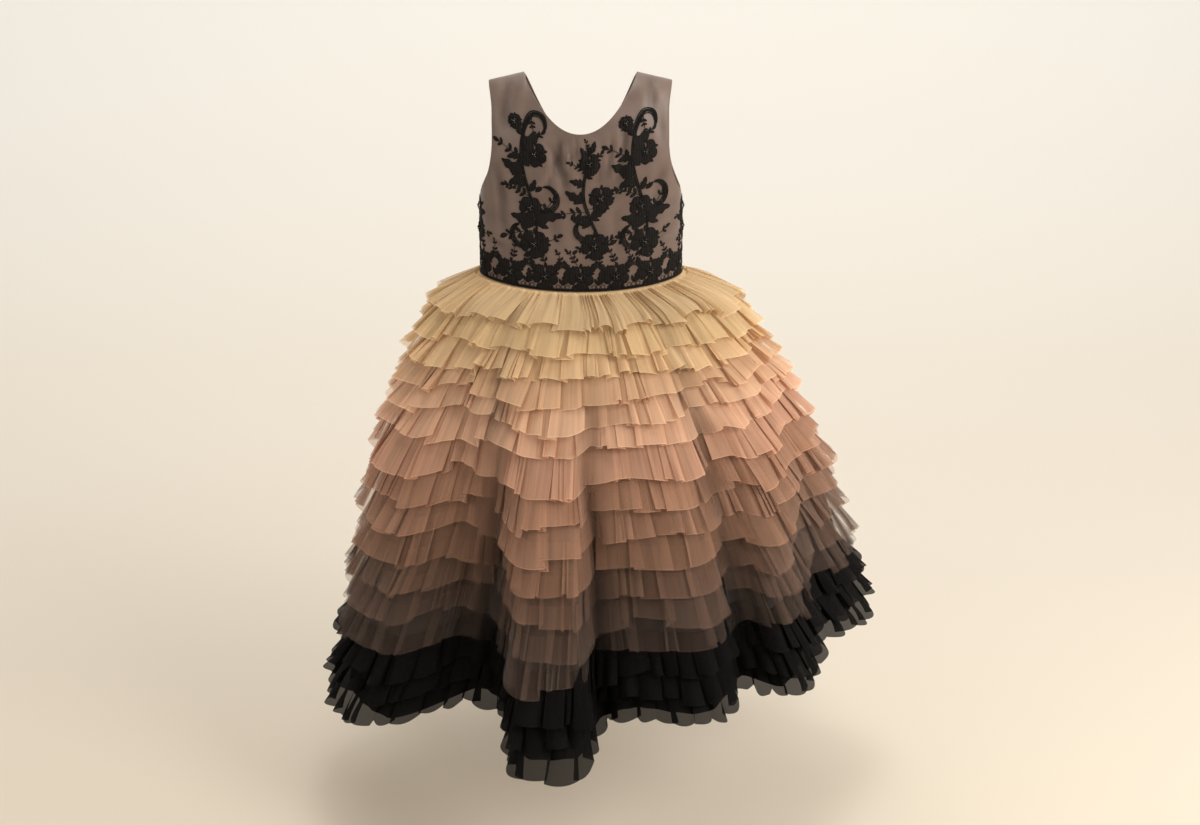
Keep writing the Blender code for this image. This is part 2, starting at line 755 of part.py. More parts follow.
def make_pull(bar_y, height):
    """Flat tab with a round eye at its top, on the bar's axis, and a neck that fits between the ears."""
    pull = make_eye(bar_y, height)
    neck_top = (EYE_INNER + EYE_OUTER) / 2
    neck_end = TAB_SHOULDER + TAB_THICKNESS
    for half_width, top, bottom in (
        (EYE_WIDTH / 2 - SEAM_GAP, neck_top, neck_end),
        (TAB_WIDTH / 2, TAB_SHOULDER, TAB_LENGTH),
    ):
        low = (-half_width, bar_y - TAB_THICKNESS / 2, height - bottom)
        high = (half_width, bar_y + TAB_THICKNESS / 2, height - top)
        join_by_boolean(pull, metal_box("tab_piece", low, high))


# Skirt
def fold_value(column, degrees):
    return float(np.interp(degrees, FOLDS["angle"], FOLDS[column]))


def skirt_row_point(degrees, row):
    """Point of the base skirt at an angle, on one row of its table."""
    angle = math.radians(degrees)
    reach = 1 + row["fold"] * (fold_value("reach", degrees) - 1)
    square = 2 + (BODY_SQUARENESS - 2) * row["dip"]
    along, across = math.cos(angle), math.sin(angle)
    size = (abs(along) ** square + abs(across) ** square) ** (1 / square)
    x = row["half_width"] * reach * along / size
    y = row["half_depth"] * reach * across / size
    dip = row["dip"] * WAIST_DIP * max(0.0, 1 - (x / WAIST_HALF_WIDTH) ** 2)
    lift = row["fold"] * fold_value("lift", degrees)
    return np.array((x + row["sway"], y, row["height"] - dip + lift))


def skirt_band(height):
    """The table rows above and below a height, and the share of the way down between them."""
    band = int(np.searchsorted(-SKIRT["height"], -height)) - 1
    band = min(max(band, 0), len(SKIRT) - 2)
    upper, lower = SKIRT[band], SKIRT[band + 1]
    share = (upper["height"] - height) / (upper["height"] - lower["height"])
    return upper, lower, float(share)


def skirt_point(degrees, height, stand_off=0.0):
    """Point at an angle and height of the base skirt's wall, moved straight out by stand_off."""
    upper, lower, share = skirt_band(height)
    point = skirt_row_point(degrees, upper) * (1 - share) + skirt_row_point(degrees, lower) * share
    sway = upper["sway"] * (1 - share) + lower["sway"] * share
    out = np.array((point[0] - sway, point[1], 0.0))
    return point + unit(out) * stand_off


def skirt_angles():
    return [360.0 * n / SKIRT_COLUMNS - 180.0 for n in range(SKIRT_COLUMNS)]


def make_base_skirt():
    """The plain skirt that carries the ruffles, sewn to the bodice at the waist."""
    grid = np.array([[skirt_row_point(angle, row) for angle in skirt_angles()] for row in SKIRT])
    normals = grid_normals(grid, closed=True)
    normals[0, :, 2] = 0  # the top edge lies flat under the bodice's
    cloth_wall("skirt_base", grid, TULLE, "black", closed=True, normals=unit(normals))


def seat(degrees, height):
    """How far out a ruffle's top edge lies, to clear the base skirt's flat faces by the seam gap."""
    step = 360.0 / SKIRT_COLUMNS
    upper, lower, share = skirt_band(height)
    here = skirt_point(degrees, height)
    down = skirt_row_point(degrees, lower) - skirt_row_point(degrees, upper)
    outward = unit(here * (1, 1, 0) - (upper["sway"], 0, 0))
    growth = math.hypot(*down[:2])
    steepest, bulge = 1.0, 0.0
    for turn in (-step, step):
        beside = (degrees + turn + 180) % 360 - 180
        across = skirt_point(beside, height) - here
        steepest = min(steepest, abs(float(unit(np.cross(down, across)) @ outward)))
        other = skirt_row_point(beside, lower) - skirt_row_point(beside, upper)
        bulge = max(bulge, share * (1 - share) * abs(math.hypot(*other[:2]) - growth))
    return (TULLE + 1.5 * SEAM_GAP) / max(steepest, 0.3) + bulge


def wave(column, turn):
    """Share of the wave height at a column, with waves of uneven height and width."""
    phase = column + turn * len(WAVE_SHAPE)
    drift = 0.9 * math.sin(2 * math.pi * 3 * column / SKIRT_COLUMNS + 5 * turn)
    place = (phase + drift) % len(WAVE_SHAPE)
    shape = np.interp(place, range(len(WAVE_SHAPE) + 1), WAVE_SHAPE + WAVE_SHAPE[:1])
    uneven = 0.80 + 0.20 * math.sin(2 * math.pi * 5 * column / SKIRT_COLUMNS + 9 * turn)
    return float(shape) * uneven


def ruffle_heights(top, bottom):
    """The top and bottom edges, with a row where the base skirt turns steeply in between."""
    turn = float(SKIRT["height"][1])
    if bottom < turn < top:
        return (top, turn, bottom)
    return (top, bottom)


def make_ruffle(tier, top, finish):
    """One gathered strip: its top edge sewn to the base skirt, its lower edge in waves."""
    bottom, stand_off, turn = float(tier["bottom"]), float(tier["stand_off"]), float(tier["turn"])
    heights = ruffle_heights(top, bottom)
    grid = np.zeros((len(heights), SKIRT_COLUMNS, 3))
    for j, angle in enumerate(skirt_angles()):
        for i, height in enumerate(heights):
            share = (top - height) / (top - bottom)
            out = share * (stand_off + WAVE_HEIGHT * wave(j, turn))
            grid[i, j] = skirt_point(angle, height, out + seat(angle, height) * (1 - share))
    cloth_wall(str(tier["name"]), grid, TULLE, finish, closed=True)


def tier_finish(number):
    """Colour by place: yellow at the waist, then peach, blush and nude, dusk above the black hem."""
    for last, finish in ((3, "yellow"), (6, "peach"), (9, "blush"), (11, "nude"), (13, "dusk")):
        if number <= last:
            return finish
    return "black"


def make_skirt():
    make_base_skirt()
    top, above = FIRST_TOP, FIRST_TOP
    for number, tier in enumerate(TIERS, start=1):
        bottom = float(tier["bottom"])
        if number > 1:
            top = above + RUFFLE_COVER * (above - bottom)
        make_ruffle(tier, top, tier_finish(number))
        above = bottom


clear_scene()
make_bodice()
make_all_lace()
make_zip_tape()
make_zip_slider_and_pull()
make_skirt()
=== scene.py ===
# %% [markdown]
# # A girl's ball gown with a skirt of gathered tulle
#
# The packed model gives the gown's solids in their places: a hollow bodice, a base skirt, sixteen
# ruffles, the lace and the zip. Here each of them gets the look of its cloth. The gown hangs in the
# air, filled out, as a wearer's shoulders would hold it.
#
# A cloth simulation could drape all this, but it rounds off crisp pleats and it can't be told where
# a fold goes. So the cloth is laid out here by rules and short tables: the large folds and the
# creases are placed one by one, and what repeats, such as pleats, beads and teeth, is left to
# Geometry Nodes.

# %% Load the frame
import math

import bpy
import numpy as np
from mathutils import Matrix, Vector


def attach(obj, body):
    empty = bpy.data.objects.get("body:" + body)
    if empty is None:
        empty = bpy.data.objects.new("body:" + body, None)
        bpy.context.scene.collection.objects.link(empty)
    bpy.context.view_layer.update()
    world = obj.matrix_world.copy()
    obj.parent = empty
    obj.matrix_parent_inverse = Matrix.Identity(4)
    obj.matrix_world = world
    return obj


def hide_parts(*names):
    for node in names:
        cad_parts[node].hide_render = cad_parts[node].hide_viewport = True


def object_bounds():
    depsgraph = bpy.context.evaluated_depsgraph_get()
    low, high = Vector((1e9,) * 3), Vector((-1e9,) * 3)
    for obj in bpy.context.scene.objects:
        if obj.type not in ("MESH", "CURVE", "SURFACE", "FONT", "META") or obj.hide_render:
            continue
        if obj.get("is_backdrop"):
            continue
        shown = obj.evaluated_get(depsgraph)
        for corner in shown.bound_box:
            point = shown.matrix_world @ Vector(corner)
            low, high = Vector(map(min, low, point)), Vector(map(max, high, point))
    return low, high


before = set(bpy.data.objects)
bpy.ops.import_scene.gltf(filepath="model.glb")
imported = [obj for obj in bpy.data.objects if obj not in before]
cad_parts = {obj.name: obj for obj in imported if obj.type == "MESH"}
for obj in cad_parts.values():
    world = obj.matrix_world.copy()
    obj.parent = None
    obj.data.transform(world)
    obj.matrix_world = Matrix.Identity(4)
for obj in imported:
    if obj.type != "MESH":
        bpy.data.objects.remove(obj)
cad_low, cad_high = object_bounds()
scene = bpy.context.scene
print("gown in the frame, mm:", [round(1000 * side) for side in cad_high - cad_low])

# %% [markdown]
# ## Camera, light and floor
#
# The picture was taken from a little above the shoulders, looking down, from about two and a half
# metres away. A long lens keeps the gown free of distortion. The floor sweeps up into a wall behind,
# so no corner shows, and it lies well below the hem because the gown is held up by its shoulders.
# Large lamps stand on both sides, because large lamps give soft shadows, as a studio's do.

# %% Camera at the picture's angle
PHOTO_WIDTH = 1200  # pixels
FOCAL_PIXELS = 1900  # focal length in the same pixels
CAMERA_PLACE = (0.025, -2.441, 0.380)
CAMERA_PITCH = 19  # degrees below level

camera = bpy.data.objects.new("camera", bpy.data.cameras.new("camera"))
camera.data.sensor_width = 36
camera.data.lens = camera.data.sensor_width * FOCAL_PIXELS / PHOTO_WIDTH
camera.location = CAMERA_PLACE
camera.rotation_euler = (math.radians(90 - CAMERA_PITCH), 0, 0)
scene.collection.objects.link(camera)
scene.camera = camera
scene.view_settings.view_transform = "Standard"
print("lens, mm:", camera.data.lens)

# %% [markdown]
# ## Short calls for materials and meshes
#
# A material is a small tree of nodes: a place on the piece goes in, a pattern turns it into grey
# levels, and these become a colour or a relief. The same few steps come again in every finish here,
# so each is a short function. The floor needs them first.

# %% Start a material
def new_material(name, **values):
    """A material with one Principled shader; values go straight on the shader's own sockets."""
    made = bpy.data.materials.new(name)
    made.use_nodes = True
    shader = made.node_tree.nodes["Principled BSDF"]
    for socket, value in values.items():
        shader.inputs[socket.replace("_", " ")].default_value = value
    return made, made.node_tree, shader


def add_node(tree, kind, **settings):
    """A node of a kind; settings are its properties, or its inputs by name."""
    node = tree.nodes.new(kind)
    for name, value in settings.items():
        if hasattr(node, name):
            setattr(node, name, value)
        else:
            node.inputs[name.replace("_", " ")].default_value = value
    return node


print("helpers for materials, in Blender", bpy.app.version_string)

# %% Places on a piece
def object_place(tree):
    """Places on the piece in its own coordinates, in metres."""
    return add_node(tree, "ShaderNodeTexCoord").outputs["Object"]


def cloth_place(tree):
    """Places on the flat cloth, from the piece's own map."""
    return add_node(tree, "ShaderNodeUVMap", uv_map="cloth").outputs["UV"]


def stretched(tree, place, scale):
    """The same places, drawn together along each axis, so that a pattern on them gets finer."""
    mapping = add_node(tree, "ShaderNodeMapping")
    mapping.inputs["Scale"].default_value = scale
    tree.links.new(place, mapping.inputs["Vector"])
    return mapping.outputs["Vector"]


def one_axis(tree, place, axis, start, end):
    """0 to 1 between two places on one axis."""
    split = add_node(tree, "ShaderNodeSeparateXYZ")
    tree.links.new(place, split.inputs[0])
    share = add_node(tree, "ShaderNodeMapRange", From_Min=start, From_Max=end)
    tree.links.new(split.outputs[axis], share.inputs["Value"])
    return share.outputs["Result"]


print("patterns follow the object, or its own map named cloth")

# %% Patterns, colours and relief
def noise(tree, place, **settings):
    """A cloudy pattern at a place."""
    pattern = add_node(tree, "ShaderNodeTexNoise", **settings)
    tree.links.new(place, pattern.inputs["Vector"])
    return pattern.outputs["Fac"]


def colour_ramp(tree, source, stops):
    """A colour ramp that reads source; stops are (place, colour)."""
    ramp = tree.nodes.new("ShaderNodeValToRGB")
    while len(ramp.color_ramp.elements) < len(stops):
        ramp.color_ramp.elements.new(0.5)
    for element, (place, colour) in zip(ramp.color_ramp.elements, stops):
        element.position = place
        element.color = (*colour, 1.0)
    tree.links.new(source, ramp.inputs["Fac"])
    return ramp.outputs["Color"]


def with_painted_shade(tree, colour):
    """A colour times the attribute shade: painted shade, low in folds, a little high on ridges."""
    shade = add_node(tree, "ShaderNodeAttribute", attribute_name="shade")
    scaled = add_node(tree, "ShaderNodeVectorMath", operation="SCALE")
    tree.links.new(colour, scaled.inputs[0])
    tree.links.new(shade.outputs["Fac"], scaled.inputs["Scale"])
    return scaled.outputs[0]


def relief(tree, height, strength, distance, over=None):
    """Fine relief from grey levels, on top of another relief if there is one."""
    bump = add_node(tree, "ShaderNodeBump", Strength=strength, Distance=distance)
    tree.links.new(height, bump.inputs["Height"])
    if over is not None:
        tree.links.new(over, bump.inputs["Normal"])
    return bump.outputs["Normal"]


print("finishes are made from noise, colour ramps and relief")

# %% Helpers for meshes
def mesh_piece(name, points, faces, uv=None):
    """A smooth mesh object from points and faces; uv gives a flat place for each point."""
    mesh = bpy.data.meshes.new(name)
    mesh.from_pydata(np.asarray(points).tolist(), [], faces)
    if uv is not None:
        layer = mesh.uv_layers.new(name="cloth")
        corner = np.zeros(len(mesh.loops), int)
        mesh.loops.foreach_get("vertex_index", corner)
        layer.data.foreach_set("uv", np.asarray(uv, np.float32)[corner].ravel())
    mesh.shade_smooth()
    made = bpy.data.objects.new(name, mesh)
    scene.collection.objects.link(made)
    return made


def grid_faces(rows, columns, closed=False):
    """Quads of a grid whose rows run down and whose columns run anticlockwise, seen from outside."""
    faces = []
    for i in range(rows - 1):
        for j in range(columns if closed else columns - 1):
            k = (j + 1) % columns
            faces.append((i * columns + j, (i + 1) * columns + j, (i + 1) * columns + k, i * columns + k))
    return faces


def turned_over(faces):
    """The same faces, seen from their other side."""
    return [tuple(reversed(face)) for face in faces]


def points_of(piece):
    """All points of a piece, as rows of x, y and z."""
    spots = np.zeros(len(piece.data.vertices) * 3)
    piece.data.vertices.foreach_get("co", spots)
    return spots.reshape(-1, 3)


def carry(piece, label, values, kind="FLOAT"):
    """Puts a value on each point of a piece, under a label that its nodes or its finish can read."""
    layer = piece.data.attributes.new(label, kind, "POINT").data
    layer.foreach_set("value" if kind == "FLOAT" else "vector", np.ravel(values).astype(np.float32))


print("quads in a closed ring of 2 rows and 8 columns:", len(grid_faces(2, 8, True)))

# %% Floor that sweeps up into a wall
FLOOR_HEIGHT = -1.01
WALL_DISTANCE = 3.2
SWEEP_RADIUS = 1.4
HALF_SPREAD = 7.0
WALL_TOP = 4.5
FRONT_REACH = -6.0

# colours from the front edge to the wall, place and red, green, blue
PAPER_COLOURS = [
    (0.0, (0.66, 0.606, 0.520)),
    (0.22, (0.66, 0.606, 0.520)),
    (0.46, (0.49, 0.455, 0.400)),
    (1.0, (0.49, 0.47, 0.43)),
]
# painted light: the paper glows by itself, faintly at the front and brightly at the wall
PAPER_GLOW = [
    (0.0, (0.09, 0.07, 0.045)),
    (0.22, (0.15, 0.115, 0.078)),
    (0.46, (0.36, 0.315, 0.258)),
    (0.7, (0.42, 0.375, 0.315)),
    (1.0, (0.52, 0.51, 0.48)),
]
SWEEP_STEPS = 25

profile = [(FRONT_REACH, FLOOR_HEIGHT)]
for turn in np.radians(np.linspace(0, 90, SWEEP_STEPS)):
    forward = WALL_DISTANCE - SWEEP_RADIUS * (1 - math.sin(turn))
    profile.append((forward, FLOOR_HEIGHT + SWEEP_RADIUS * (1 - math.cos(turn))))
profile.append((WALL_DISTANCE, WALL_TOP))
sweep_points = [(x, y, z) for y, z in profile for x in (-HALF_SPREAD, HALF_SPREAD)]
sweep_faces = [(2 * n, 2 * n + 1, 2 * n + 3, 2 * n + 2) for n in range(len(profile) - 1)]
floor = mesh_piece("studio_floor", sweep_points, sweep_faces)
paper, tree, shader = new_material("backdrop_paper", Emission_Strength=1.0, Roughness=0.95)
back = one_axis(tree, object_place(tree), "Y", -1.0, WALL_DISTANCE)
tree.links.new(colour_ramp(tree, back, PAPER_COLOURS), shader.inputs["Base Color"])
tree.links.new(colour_ramp(tree, back, PAPER_GLOW), shader.inputs["Emission Color"])
floor.data.materials.append(paper)
floor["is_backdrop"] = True
print("floor lies below the hem by mm:", round(1000 * (cad_low.z - FLOOR_HEIGHT)))

# %% Soft studio light
def area_light(name, place, aim, size, power, colour):
    """A square lamp that shines from one place towards another; size in metres, power in watts."""
    lamp = bpy.data.lights.new(name, "AREA")
    lamp.size, lamp.energy, lamp.color = size, power, colour
    made = bpy.data.objects.new(name, lamp)
    made.location = place
    made.rotation_euler = (Vector(aim) - Vector(place)).to_track_quat("-Z", "Y").to_euler()
    scene.collection.objects.link(made)


WARM = (1.0, 0.955, 0.89)
MIDDLE = (0.0, 0.0, -0.45)
area_light("key", (2.1, -1.9, 1.3), MIDDLE, 1.4, 52, WARM)
area_light("fill", (-2.0, -1.7, 0.5), MIDDLE, 1.6, 17, WARM)
area_light("side", (2.3, -0.5, 0.3), MIDDLE, 1.2, 24, WARM)
area_light("overhead", (0.1, -0.2, 1.9), MIDDLE, 0.8, 15, WARM)
area_light("wall_wash", (0.0, 1.2, 2.6), (0.0, 3.2, -0.2), 2.5, 34, WARM)

world = bpy.data.worlds.new("studio")
world.use_nodes = True
world.node_tree.nodes["Background"].inputs["Color"].default_value = (1.0, 0.965, 0.91, 1.0)
world.node_tree.nodes["Background"].inputs["Strength"].default_value = 0.22
scene.world = world

# %% [markdown]
# ## The gown's form
#
# Every sheet of cloth here follows the same form as its solid. The solids could be copied and
# smoothed, but their facets would still show, and a copy has no even grid for pleats and creases. So
# the form is written once more, as short tables and formulas for whole arrays of points. The tables
# are read with smooth curves, so a fold that turns between two rows is round.

# %% Sizes of the bodice, in metres
WAIST_DROP = 0.261  # shoulder to waist seam at the side
WAIST_DIP = 0.013  # the seam lies this much lower at the centre front
WAIST_HALF_WIDTH = 0.1325
WAIST_HALF_DEPTH = 0.062
CHEST_HALF_WIDTH = 0.1306
CHEST_DEPTH = 0.058
UNDERARM_DROP = 0.153
NECK_HALF_WIDTH = 0.073
NECK_DROP_FRONT = 0.071
NECK_DROP_BACK = 0.105
NECK_ROUNDNESS = 2.1
SHOULDER_SLOPE = 0.010
SHOULDER_CURVE = 0.110  # height over which a strap bends over the shoulder
SQUARENESS = 2.4  # 2 is an ellipse, more is flatter at the front
SATIN = 0.0015  # wall
SEAM_GAP = 0.0003
BACK_OPENING = 0.0006  # between the two back panels, over the zip

# armhole from the underarm up to the shoulder
ARMHOLE_HEIGHTS = (-0.153, -0.133, -0.119, -0.084, -0.045, -0.010)
ARMHOLE_HALF_WIDTHS = (0.1306, 0.1215, 0.1170, 0.1125, 0.1120, 0.1165)
print("waist round the body, about mm:", round(4000 * (WAIST_HALF_WIDTH + WAIST_HALF_DEPTH) * 0.81))

# %% Smooth curves through tables
def smooth_step(t, width, first, last, first_slope, last_slope):
    """From one value to the next over a width, with a given slope at each end; t goes from 0 to 1."""
    start = (1 + 2 * t) * (1 - t) ** 2 * first + t * (1 - t) ** 2 * width * first_slope
    end = t * t * (3 - 2 * t) * last + t * t * (t - 1) * width * last_slope
    return start + end


def smooth_table(places, values, flat_ends=False):
    """A curve through the rows of a table that never overshoots them."""
    places, values = np.asarray(places, float), np.asarray(values, float)
    rise = np.diff(values) / np.diff(places)
    slopes = np.zeros(len(values))
    if not flat_ends:
        slopes[0], slopes[-1] = rise[0], rise[-1]
    before, after = rise[:-1], rise[1:]
    same = before * after > 0
    slopes[1:-1][same] = 2 * before[same] * after[same] / (before[same] + after[same])

    def read(place):
        place = np.clip(place, places[0], places[-1])
        n = np.clip(np.searchsorted(places, place, side="right") - 1, 0, len(rise) - 1)
        width = places[n + 1] - places[n]
        t = (place - places[n]) / width
        return smooth_step(t, width, values[n], values[n + 1], slopes[n], slopes[n + 1])

    return read


armhole_half_width = smooth_table(ARMHOLE_HEIGHTS, ARMHOLE_HALF_WIDTHS)
print("armhole at mid height, mm from the centre:", round(1000 * float(armhole_half_width(-0.08))))

# %% The bodice's form
def waist_height(x):
    """The waist seam, which dips towards the centre."""
    return -WAIST_DROP - WAIST_DIP * np.maximum(0.0, 1 - (np.asarray(x) / WAIST_HALF_WIDTH) ** 2)


def body_share(height):
    """0 at the waist and 1 from the underarm up."""
    return np.clip((np.asarray(height) + WAIST_DROP) / (WAIST_DROP - UNDERARM_DROP), 0, 1)


def body_half_width(height):
    """Half the bodice's width, as if it had no armholes."""
    return WAIST_HALF_WIDTH + (CHEST_HALF_WIDTH - WAIST_HALF_WIDTH) * body_share(height)


def edge_half_width(height):
    """How far out a panel goes: to the side seam, and above the underarm to the armhole."""
    return np.where(np.asarray(height) <= -UNDERARM_DROP, body_half_width(height), armhole_half_width(height))


def shoulder_line(x):
    """The slope of the shoulder seam, from the neck out."""
    beyond = np.maximum(0.0, np.abs(x) - NECK_HALF_WIDTH)
    return -SHOULDER_SLOPE * beyond / (ARMHOLE_HALF_WIDTHS[-1] - NECK_HALF_WIDTH)


def body_point(x, height, side):
    """Points of the bodice's middle surface; side is -1 for the front and 1 for the back."""
    x, height = np.asarray(x, float), np.asarray(height, float)
    below = np.clip(shoulder_line(x) - height, 0, SHOULDER_CURVE)
    bend = np.sqrt(np.maximum(0.0, 1 - ((SHOULDER_CURVE - below) / SHOULDER_CURVE) ** 2))
    depth = (WAIST_HALF_DEPTH + (CHEST_DEPTH - WAIST_HALF_DEPTH) * body_share(height)) * bend
    across = np.minimum(1.0, np.abs(x) / body_half_width(height))
    section = (1 - across**SQUARENESS) ** (1 / SQUARENESS)
    y = side * (depth * section + SEAM_GAP / 2)
    return np.stack(np.broadcast_arrays(x, y, height), axis=-1)


def unit(vectors):
    """The same directions, each of length 1."""
    return vectors / np.maximum(np.linalg.norm(vectors, axis=-1, keepdims=True), 1e-12)


print("centre front waist:", body_point(0.0, waist_height(0.0), -1).round(3))

# %% [markdown]
# ## The skirt's form and its large folds
#
# The skirt is a wide cone of cloth that stands out at the waist and falls in large round folds. Two
# tables hold it: one goes down the skirt, the other goes round the hem. Between the waist and the
# hem the folds grow, so the hem runs in and out and up and down around the gown. Tables were chosen
# over sculpting because each fold then has a number that can be moved by itself.

# %% Tables of the skirt
# height, half width, half depth, share of the folds, share of the waist's dip, sway to the left
SKIRT = np.array(
    [
        (-0.2613, 0.1325, 0.062, 0.00, 1.0, 0.000),
        (-0.2900, 0.1760, 0.104, 0.02, 0.8, 0.006),
        (-0.3500, 0.2120, 0.145, 0.12, 0.4, 0.007),
        (-0.4400, 0.2560, 0.205, 0.38, 0.1, 0.010),
        (-0.5800, 0.3020, 0.272, 0.70, 0.0, 0.018),
        (-0.8030, 0.3520, 0.344, 1.00, 0.0, 0.026),
    ]
)
# angle from +X, reach as a share of the full skirt, lift of the hem
FOLDS = np.array(
    [
        (-180, 1.00, -0.030),
        (-160, 1.01, -0.022),
        (-145, 0.98, -0.018),
        (-130, 0.69, 0.020),
        (-120, 0.72, 0.016),
        (-115, 0.75, 0.010),
        (-105, 0.98, -0.006),
        (-95, 0.95, -0.004),
        (-90, 0.76, 0.018),
        (-80, 0.78, 0.034),
        (-65, 0.90, 0.036),
        (-50, 0.81, 0.054),
        (-45, 0.94, 0.046),
        (-35, 0.91, 0.052),
        (-25, 0.86, 0.068),
        (-15, 0.90, 0.066),
        (5, 1.02, 0.052),
        (25, 0.84, 0.050),
        (40, 1.00, 0.030),
        (55, 0.76, 0.035),
        (75, 1.00, 0.012),
        (90, 0.80, 0.022),
        (105, 1.00, 0.000),
        (125, 0.78, 0.006),
        (140, 1.00, -0.020),
        (160, 0.86, -0.014),
        (180, 1.00, -0.030),
    ]
)
print("hem, mm from side to side before its folds:", round(2000 * SKIRT[-1, 1]))

# %% The skirt's surface
down_skirt = [smooth_table(-SKIRT[:, 0], SKIRT[:, n]) for n in range(1, 6)]
fold_reach = smooth_table(FOLDS[:, 0], FOLDS[:, 1], flat_ends=True)
fold_lift = smooth_table(FOLDS[:, 0], FOLDS[:, 2], flat_ends=True)


def half_turn(degrees):
    """The same angle between -180 and 180."""
    return (np.asarray(degrees, float) + 180) % 360 - 180


def rounded_square(angles, square):
    """Points of a circle that is drawn out towards a square; square 2 leaves it round."""
    sideways, backward = np.cos(angles), np.sin(angles)
    size = (np.abs(sideways) ** square + np.abs(backward) ** square) ** (1 / square)
    return sideways / size, backward / size


def skirt_point(degrees, height, out=0.0):
    """Points of the base skirt at angles and heights, moved straight out."""
    degrees = half_turn(degrees)
    half_width, half_depth, fold, dip, sway = (read(-np.asarray(height, float)) for read in down_skirt)
    reach = 1 + fold * (fold_reach(degrees) - 1)
    sideways, backward = rounded_square(np.radians(degrees), 2 + (SQUARENESS - 2) * dip)
    x, y = half_width * reach * sideways, half_depth * reach * backward
    drop = dip * WAIST_DIP * np.maximum(0.0, 1 - (x / WAIST_HALF_WIDTH) ** 2)
    z = height - drop + fold * fold_lift(degrees)
    away = np.hypot(x, y)
    return np.stack(np.broadcast_arrays(x * (1 + out / away) + sway, y * (1 + out / away), z), axis=-1)


print("hem at the centre front:", skirt_point(-98, -0.803).round(3))

# %% [markdown]
# ## Furrows between the large folds
#
# Where two large folds meet, the ruffles turn in and little light gets to them. One could make the
# whole skirt deeper there, but then the ruffles of both sides would run through each other. So the
# ruffles dip only a little, and shade is painted into the net's colour towards the middle of each
# furrow. This painted shade is fixed in the colour, so it stays in place from all sides.

# %% Furrows between the large folds
# angle at the top and at the hem, height where it starts, half width at the hem, depth
FURROWS = np.array(
    [
        (-116.5, -121.5, -0.265, 4.2, 1.00),
        (-90.0, -90.5, -0.340, 3.6, 0.95),
        (-61.5, -53.0, -0.240, 3.8, 0.95),
        (-27.0, -24.0, -0.500, 3.4, 0.10),
        (22.0, 26.0, -0.360, 4.6, 0.80),
        (59.5, 55.0, -0.290, 4.2, 0.95),
        (92.0, 90.0, -0.380, 3.8, 0.75),
        (120.5, 125.0, -0.275, 4.4, 0.95),
        (163.0, 160.0, -0.400, 3.8, 0.70),
    ]
)
FURROW_END = -0.74  # height from which a furrow has its full width and depth
# painted shade: share of the net's colour taken away in the deepest furrow, and in a full valley
DARKEST = 0.80  # share of the light that the deepest furrow takes away
VALLEY_SHADE = 0.24  # the same for the wide valleys between the folds
VALLEY_REACH = (0.70, 0.92)  # reach of the hem where a valley is full, and where it ends


def furrow(degrees, height):
    """0 on the ridges and up to 1 in the narrow furrows, where the ruffles turn in between two folds."""
    degrees, height = np.broadcast_arrays(np.asarray(degrees, float), np.asarray(height, float))
    total = np.zeros(degrees.shape)
    for first, last, start, half, depth in FURROWS:
        grown = np.clip((start - height) / (start - FURROW_END), 0, 1)
        away = half_turn(degrees - first - (last - first) * grown)
        across = away / (half * (0.45 + 0.55 * grown))
        total = np.maximum(total, depth * grown**0.5 * np.exp(-(across**2)))
    return total


def furrow_shade(degrees, height):
    """Painted shade on the net: its colour is darkened in a furrow and a little in each valley."""
    fold = down_skirt[2](-np.asarray(height, float))
    full, edge = VALLEY_REACH
    valley = np.clip((edge - fold_reach(half_turn(degrees))) / (edge - full), 0, 1)
    return (1 - VALLEY_SHADE * fold * valley) * (1 - DARKEST * furrow(degrees, height))


print("furrows:", len(FURROWS), "light left in the deepest:", round(float(furrow_shade(-121.5, -0.80)), 2))

# %% [markdown]
# ## Tulle
#
# Tulle is a fine net. One layer lets what lies under it show through, and two or three layers read
# as a deeper colour. Its threads could be made as geometry, but they are a tenth of a millimetre
# thick and there are millions of them. So each tulle is a plain see-through shader: its colour
# carries crisp light and dark streaks, partly the deeper colour where gathered net lies double
# and partly painted shade and highlight on its small gathers, a fine net pattern gives it a dull
# grain, and a painted highlight makes the cut edge a little lighter.

# %% A tulle finish
NET_CELL = 0.0012
STREAK_PITCH = 0.0030
STREAK_DRAW = 6.0  # pattern steps to a metre down the pleats, so the streaks run down
# painted highlight along the cut edge: the colour is lighter within these distances of it
EDGE_HIGHLIGHT = (0.0016, 0.0006)  # the edge is lighter between these distances from it


def tinted(colour, factor):
    """A colour made lighter or darker, never past white."""
    return tuple(min(1.0, factor * part) for part in colour)


def blend_colours(tree, share, first, second):
    """From the first colour, a socket, to the second, a fixed one."""
    mix = add_node(tree, "ShaderNodeMix", data_type="RGBA", blend_type="MIX")
    ends = {socket.name: socket for socket in mix.inputs if socket.type == "RGBA"}
    tree.links.new(share, mix.inputs["Factor"])
    tree.links.new(first, ends["A"])
    ends["B"].default_value = (*second, 1.0)
    return [socket for socket in mix.outputs if socket.type == "RGBA"][0]


